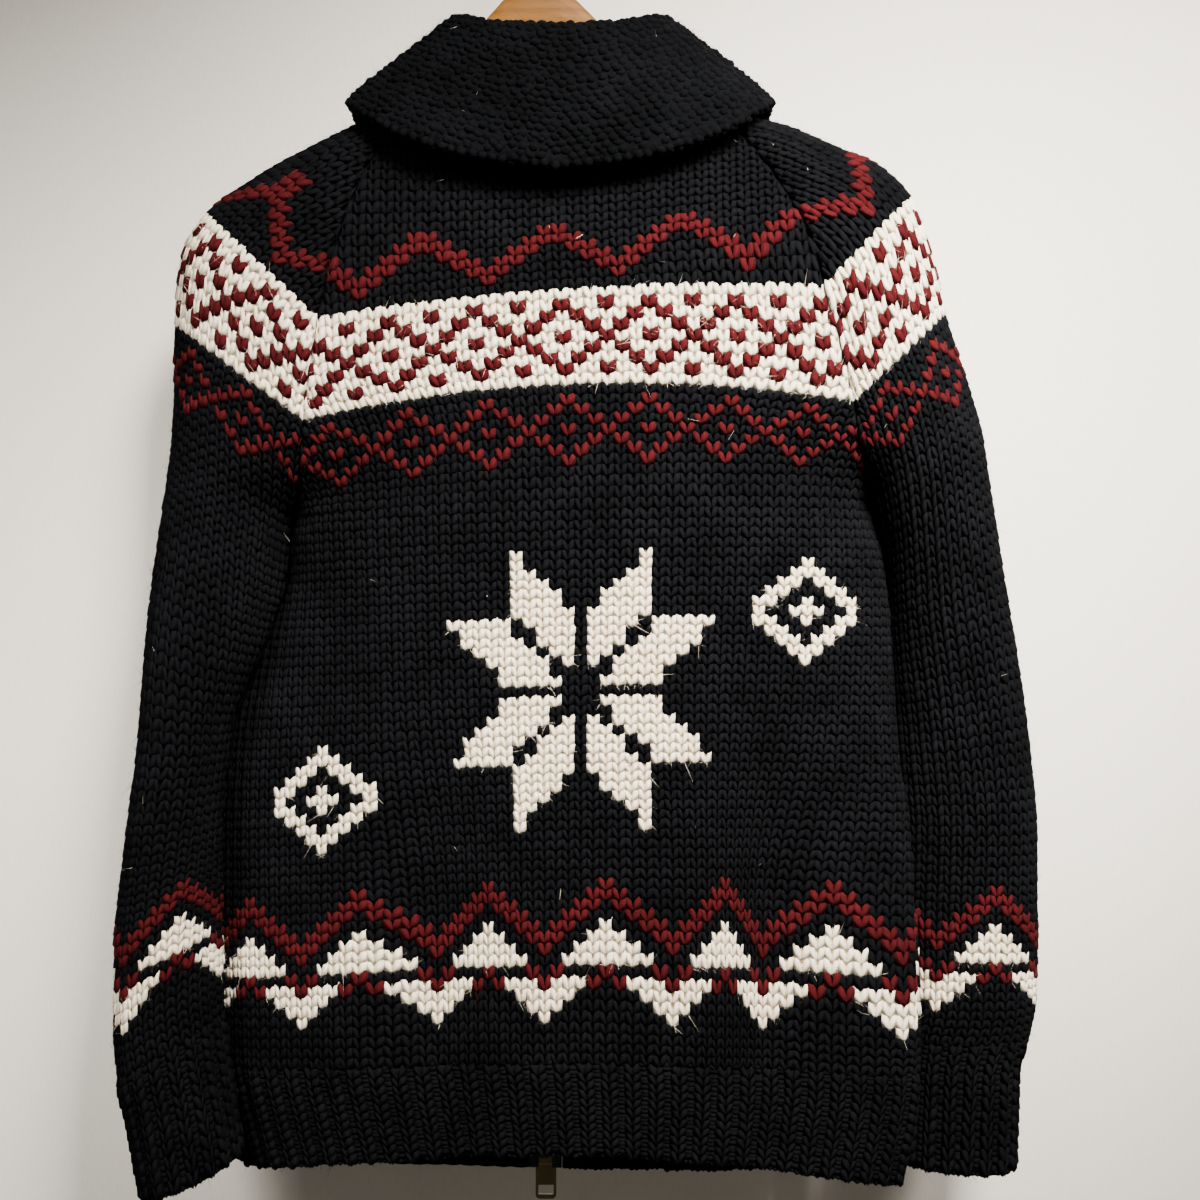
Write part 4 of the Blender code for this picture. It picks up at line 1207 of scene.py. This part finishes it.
def honey_wood():
    """Varnished pale hardwood with grain along the hanger."""
    made = Finish("honey_wood", 0.6, Coat_Weight=0.06, Coat_Roughness=0.25, Specular_IOR_Level=0.15)
    warp = made.noise(made.place("object", (2.2, 14, 14)), 3.0, 3.0)
    lay = made.place("object", (4, 30, 60))
    rings = made.wave("Z", lay, 0.9, Distortion=7.0, Detail=3.0, Detail_Scale=0.6)
    pores = made.noise(made.place("object", (30, 420, 420)), 2.2, 4.0, 0.7)
    colour = made.ramp(
        made.weigh(rings, 0.16, warp, 0.84),
        ((0.2, (0.085, 0.030, 0.0035)), (0.5, (0.15, 0.060, 0.007)), (0.85, (0.22, 0.10, 0.014))),
    )
    dark_pores = made.ramp(pores, ((0.3, (0.62, 0.5, 0.4)), (0.5, (1, 1, 1))))
    colour = made.blend("MULTIPLY", colour, dark_pores, 0.6)
    return made.done(colour, made.bump(pores, 0.2, 0.15))


def hook_steel():
    """Bright plated wire with fine drawing lines and a little dulling."""
    made = Finish("plated_steel", 0.22, 1.0)
    marks = made.noise(made.place(), 700.0, 3.0, 0.6)
    dull = made.noise(made.place(), 60.0, 2.0)
    colour = made.ramp(dull, ((0.3, (0.52, 0.52, 0.54)), (0.7, (0.72, 0.72, 0.73))))
    made.feed(made.shader.inputs["Roughness"], made.math("MULTIPLY", dull, 0.5))
    return made.done(colour, made.bump(marks, 0.15, 0.05))


def painted_wall():
    """A pale papered wall and floor, faintly uneven, that can be looked through from behind."""
    made = Finish("pale_wall", 0.85, Specular_IOR_Level=0.2)
    clear = made.add("BsdfTransparent").outputs["BSDF"]
    one_sided = made.add("MixShader", Fac=made.add("NewGeometry").outputs["Backfacing"])
    made.feed(one_sided.inputs[1], made.shader.outputs["BSDF"])
    made.feed(one_sided.inputs[2], clear)
    made.feed(made.tree.nodes["Material Output"].inputs["Surface"], one_sided.outputs["Shader"])
    paper = made.noise(made.place("object", (900, 900, 120)), 1.0, 2.0)
    tone = made.noise(made.place(), 1.6, 2.0)
    mottled = made.weigh(tone, 0.5, paper, 0.5)
    colour = made.ramp(mottled, ((0.3, (0.73, 0.68, 0.59)), (0.7, (0.82, 0.775, 0.69))))
    return made.done(colour, made.bump(paper, 0.25, 0.25))


def repaint(node, material):
    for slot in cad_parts[node].material_slots:
        slot.material = material


def studio(material):
    """One sheet of backdrop: a wall close behind, a coved corner and a pale floor."""
    profile = [(WALL_Y, WALL_TOP)]
    for angle in np.linspace(0, math.pi / 2, 10):
        profile.append((WALL_Y - COVE * (1 - math.cos(angle)), FLOOR_Z + COVE * (1 - math.sin(angle))))
    profile.append((FLOOR_EDGE, FLOOR_Z))
    bm = bmesh.new()
    verts = [bm.verts.new((-WALL_HALF, y, z)) for y, z in profile]
    line = [bm.edges.new(pair) for pair in zip(verts, verts[1:])]
    wide = bmesh.ops.extrude_edge_only(bm, edges=line)
    moved = [item for item in wide["geom"] if isinstance(item, bmesh.types.BMVert)]
    bmesh.ops.translate(bm, verts=moved, vec=(2 * WALL_HALF, 0, 0))
    bmesh.ops.recalc_face_normals(bm, faces=bm.faces)
    if sum(face.normal.y for face in bm.faces) > 0:
        bmesh.ops.reverse_faces(bm, faces=bm.faces)
    backdrop = smooth_object("backdrop", bm, [material])
    backdrop.visible_shadow = False


def area_light(name, place, target, size, power, colour=(1, 1, 1), spread=180):
    data = bpy.data.lights.new(name, "AREA")
    data.shape = "RECTANGLE"
    data.size, data.size_y = size
    data.energy = power
    data.color = colour
    data.spread = math.radians(spread)
    obj = bpy.data.objects.new(name, data)
    obj.location = place
    obj.rotation_euler = (Vector(target) - Vector(place)).to_track_quat("-Z", "Y").to_euler()
    bpy.context.scene.collection.objects.link(obj)


def lights():
    """A ceiling panel in front, a window to the right and very little fill."""
    warm = (1, 0.965, 0.92)
    area_light("ceiling", (0.42, -0.80, 0.42), (0.13, 0.05, -0.40), (0.5, 0.4), 8.6, warm, 48)
    area_light("window", (1.3, -0.9, 0.4), (0.58, 0.05, -0.22), (0.5, 0.5), 4.2, warm, 40)
    area_light("side", (-0.8, -1.0, 0.25), (-0.34, 0.05, -0.50), (0.5, 0.5), 1.7, (1, 0.97, 0.93), 32)
    area_light("behind", (0.5, 1.6, 0.4), (0, 0, -0.4), (1.5, 1.5), 36.0)
    world = bpy.data.worlds.new("studio")
    world.use_nodes = True
    background = world.node_tree.nodes["Background"]
    background.inputs["Color"].default_value = (0.95, 0.96, 1.0, 1)
    background.inputs["Strength"].default_value = 0.08
    bpy.context.scene.world = world


def camera():
    """Level with the chest and square to the back, close enough that the hook is out of the frame."""
    data = bpy.data.cameras.new("camera")
    data.sensor_width = SENSOR_MM
    data.lens = SENSOR_MM / 2 / math.tan(math.radians(VIEW_ANGLE / 2))
    data.clip_start = 0.01
    obj = bpy.data.objects.new("camera", data)
    obj.location = CAMERA_PLACE
    obj.rotation_euler = (math.radians(90), 0, 0)
    bpy.context.scene.collection.objects.link(obj)
    bpy.context.scene.camera = obj


def cloth(ground, stitches, node, slot, flat, area):
    """Puts a dressed panel on the garment: it rides with it and stands for its solid, which is hidden."""
    for piece in (ground, *stitches):
        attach(piece, "garment")
    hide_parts(node)


camera()

black = wool("wool_black", (0.0014, 0.0015, 0.0018), (0.0056, 0.0058, 0.0068), 0.006, 0.02)
cream = wool("wool_cream", (0.72, 0.60, 0.42), (0.92, 0.82, 0.63), 0.12, 0.1)
red = wool("wool_red", (0.026, 0.0022, 0.0030), (0.062, 0.0060, 0.0072), 0.015, 0.04)
rib = wool("wool_rib", (0.0014, 0.0015, 0.0017), (0.0056, 0.0058, 0.0066), 0.006, 0.02)
moss = wool("wool_collar", (0.0009, 0.0010, 0.0011), (0.0034, 0.0036, 0.0043), 0.004, 0.02)
inside_black = lining("lining_black", (0.0010, 0.0011, 0.0013), (0.0038, 0.0040, 0.0048))
inside_mixed = lining("lining_mixed", (0.002, 0.002, 0.0022), (0.012, 0.010, 0.010))
YARNS, LININGS = [black, cream, red], [inside_black, inside_mixed, inside_mixed]

PANELS = panels()
for name, panel in PANELS.items():
    ground, stitches = dress_panel(panel, YARNS, LININGS)
    cloth(ground, stitches, name, "yarn_black", *CUTS[name])
RIBS = rib_panels()
for panel in RIBS:
    ground, stitches = dress_rib(panel, rib, inside_black)
    cloth(ground, stitches, panel.name, "yarn_rib", *CUTS[panel.name])

sheet = CollarSheet()
cloth(collar_wall(sheet, moss), [moss_stitches(sheet, moss)], "collar", "yarn_collar", *CUTS["collar"])

FIBRE_PANELS = {
    "back": [PANELS[name] for name in ("back", "sleeve_left", "sleeve_right")],
    "front": [PANELS[name] for name in ("front_left", "front_right")],
    "ribs": [*RIBS, sheet],
}
for where, bearers in FIBRE_PANELS.items():
    fibres = loose_fibres("loose_fibres_" + where, bearers, YARNS)
    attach(fibres, "garment")

brass = aged_brass()
teeth = zip_teeth(brass)
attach(teeth, "garment")
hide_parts("zip_chain")
for node in ("slider_top", "slider_bottom", "pull_tab_top", "pull_tab_bottom"):
    repaint(node, brass)
weave = zip_weave()
for node in ("zip_tape_left", "zip_tape_right"):
    repaint(node, weave)
repaint("hanger", honey_wood())
repaint("hanger_hook", hook_steel())

studio(painted_wall())
lights()
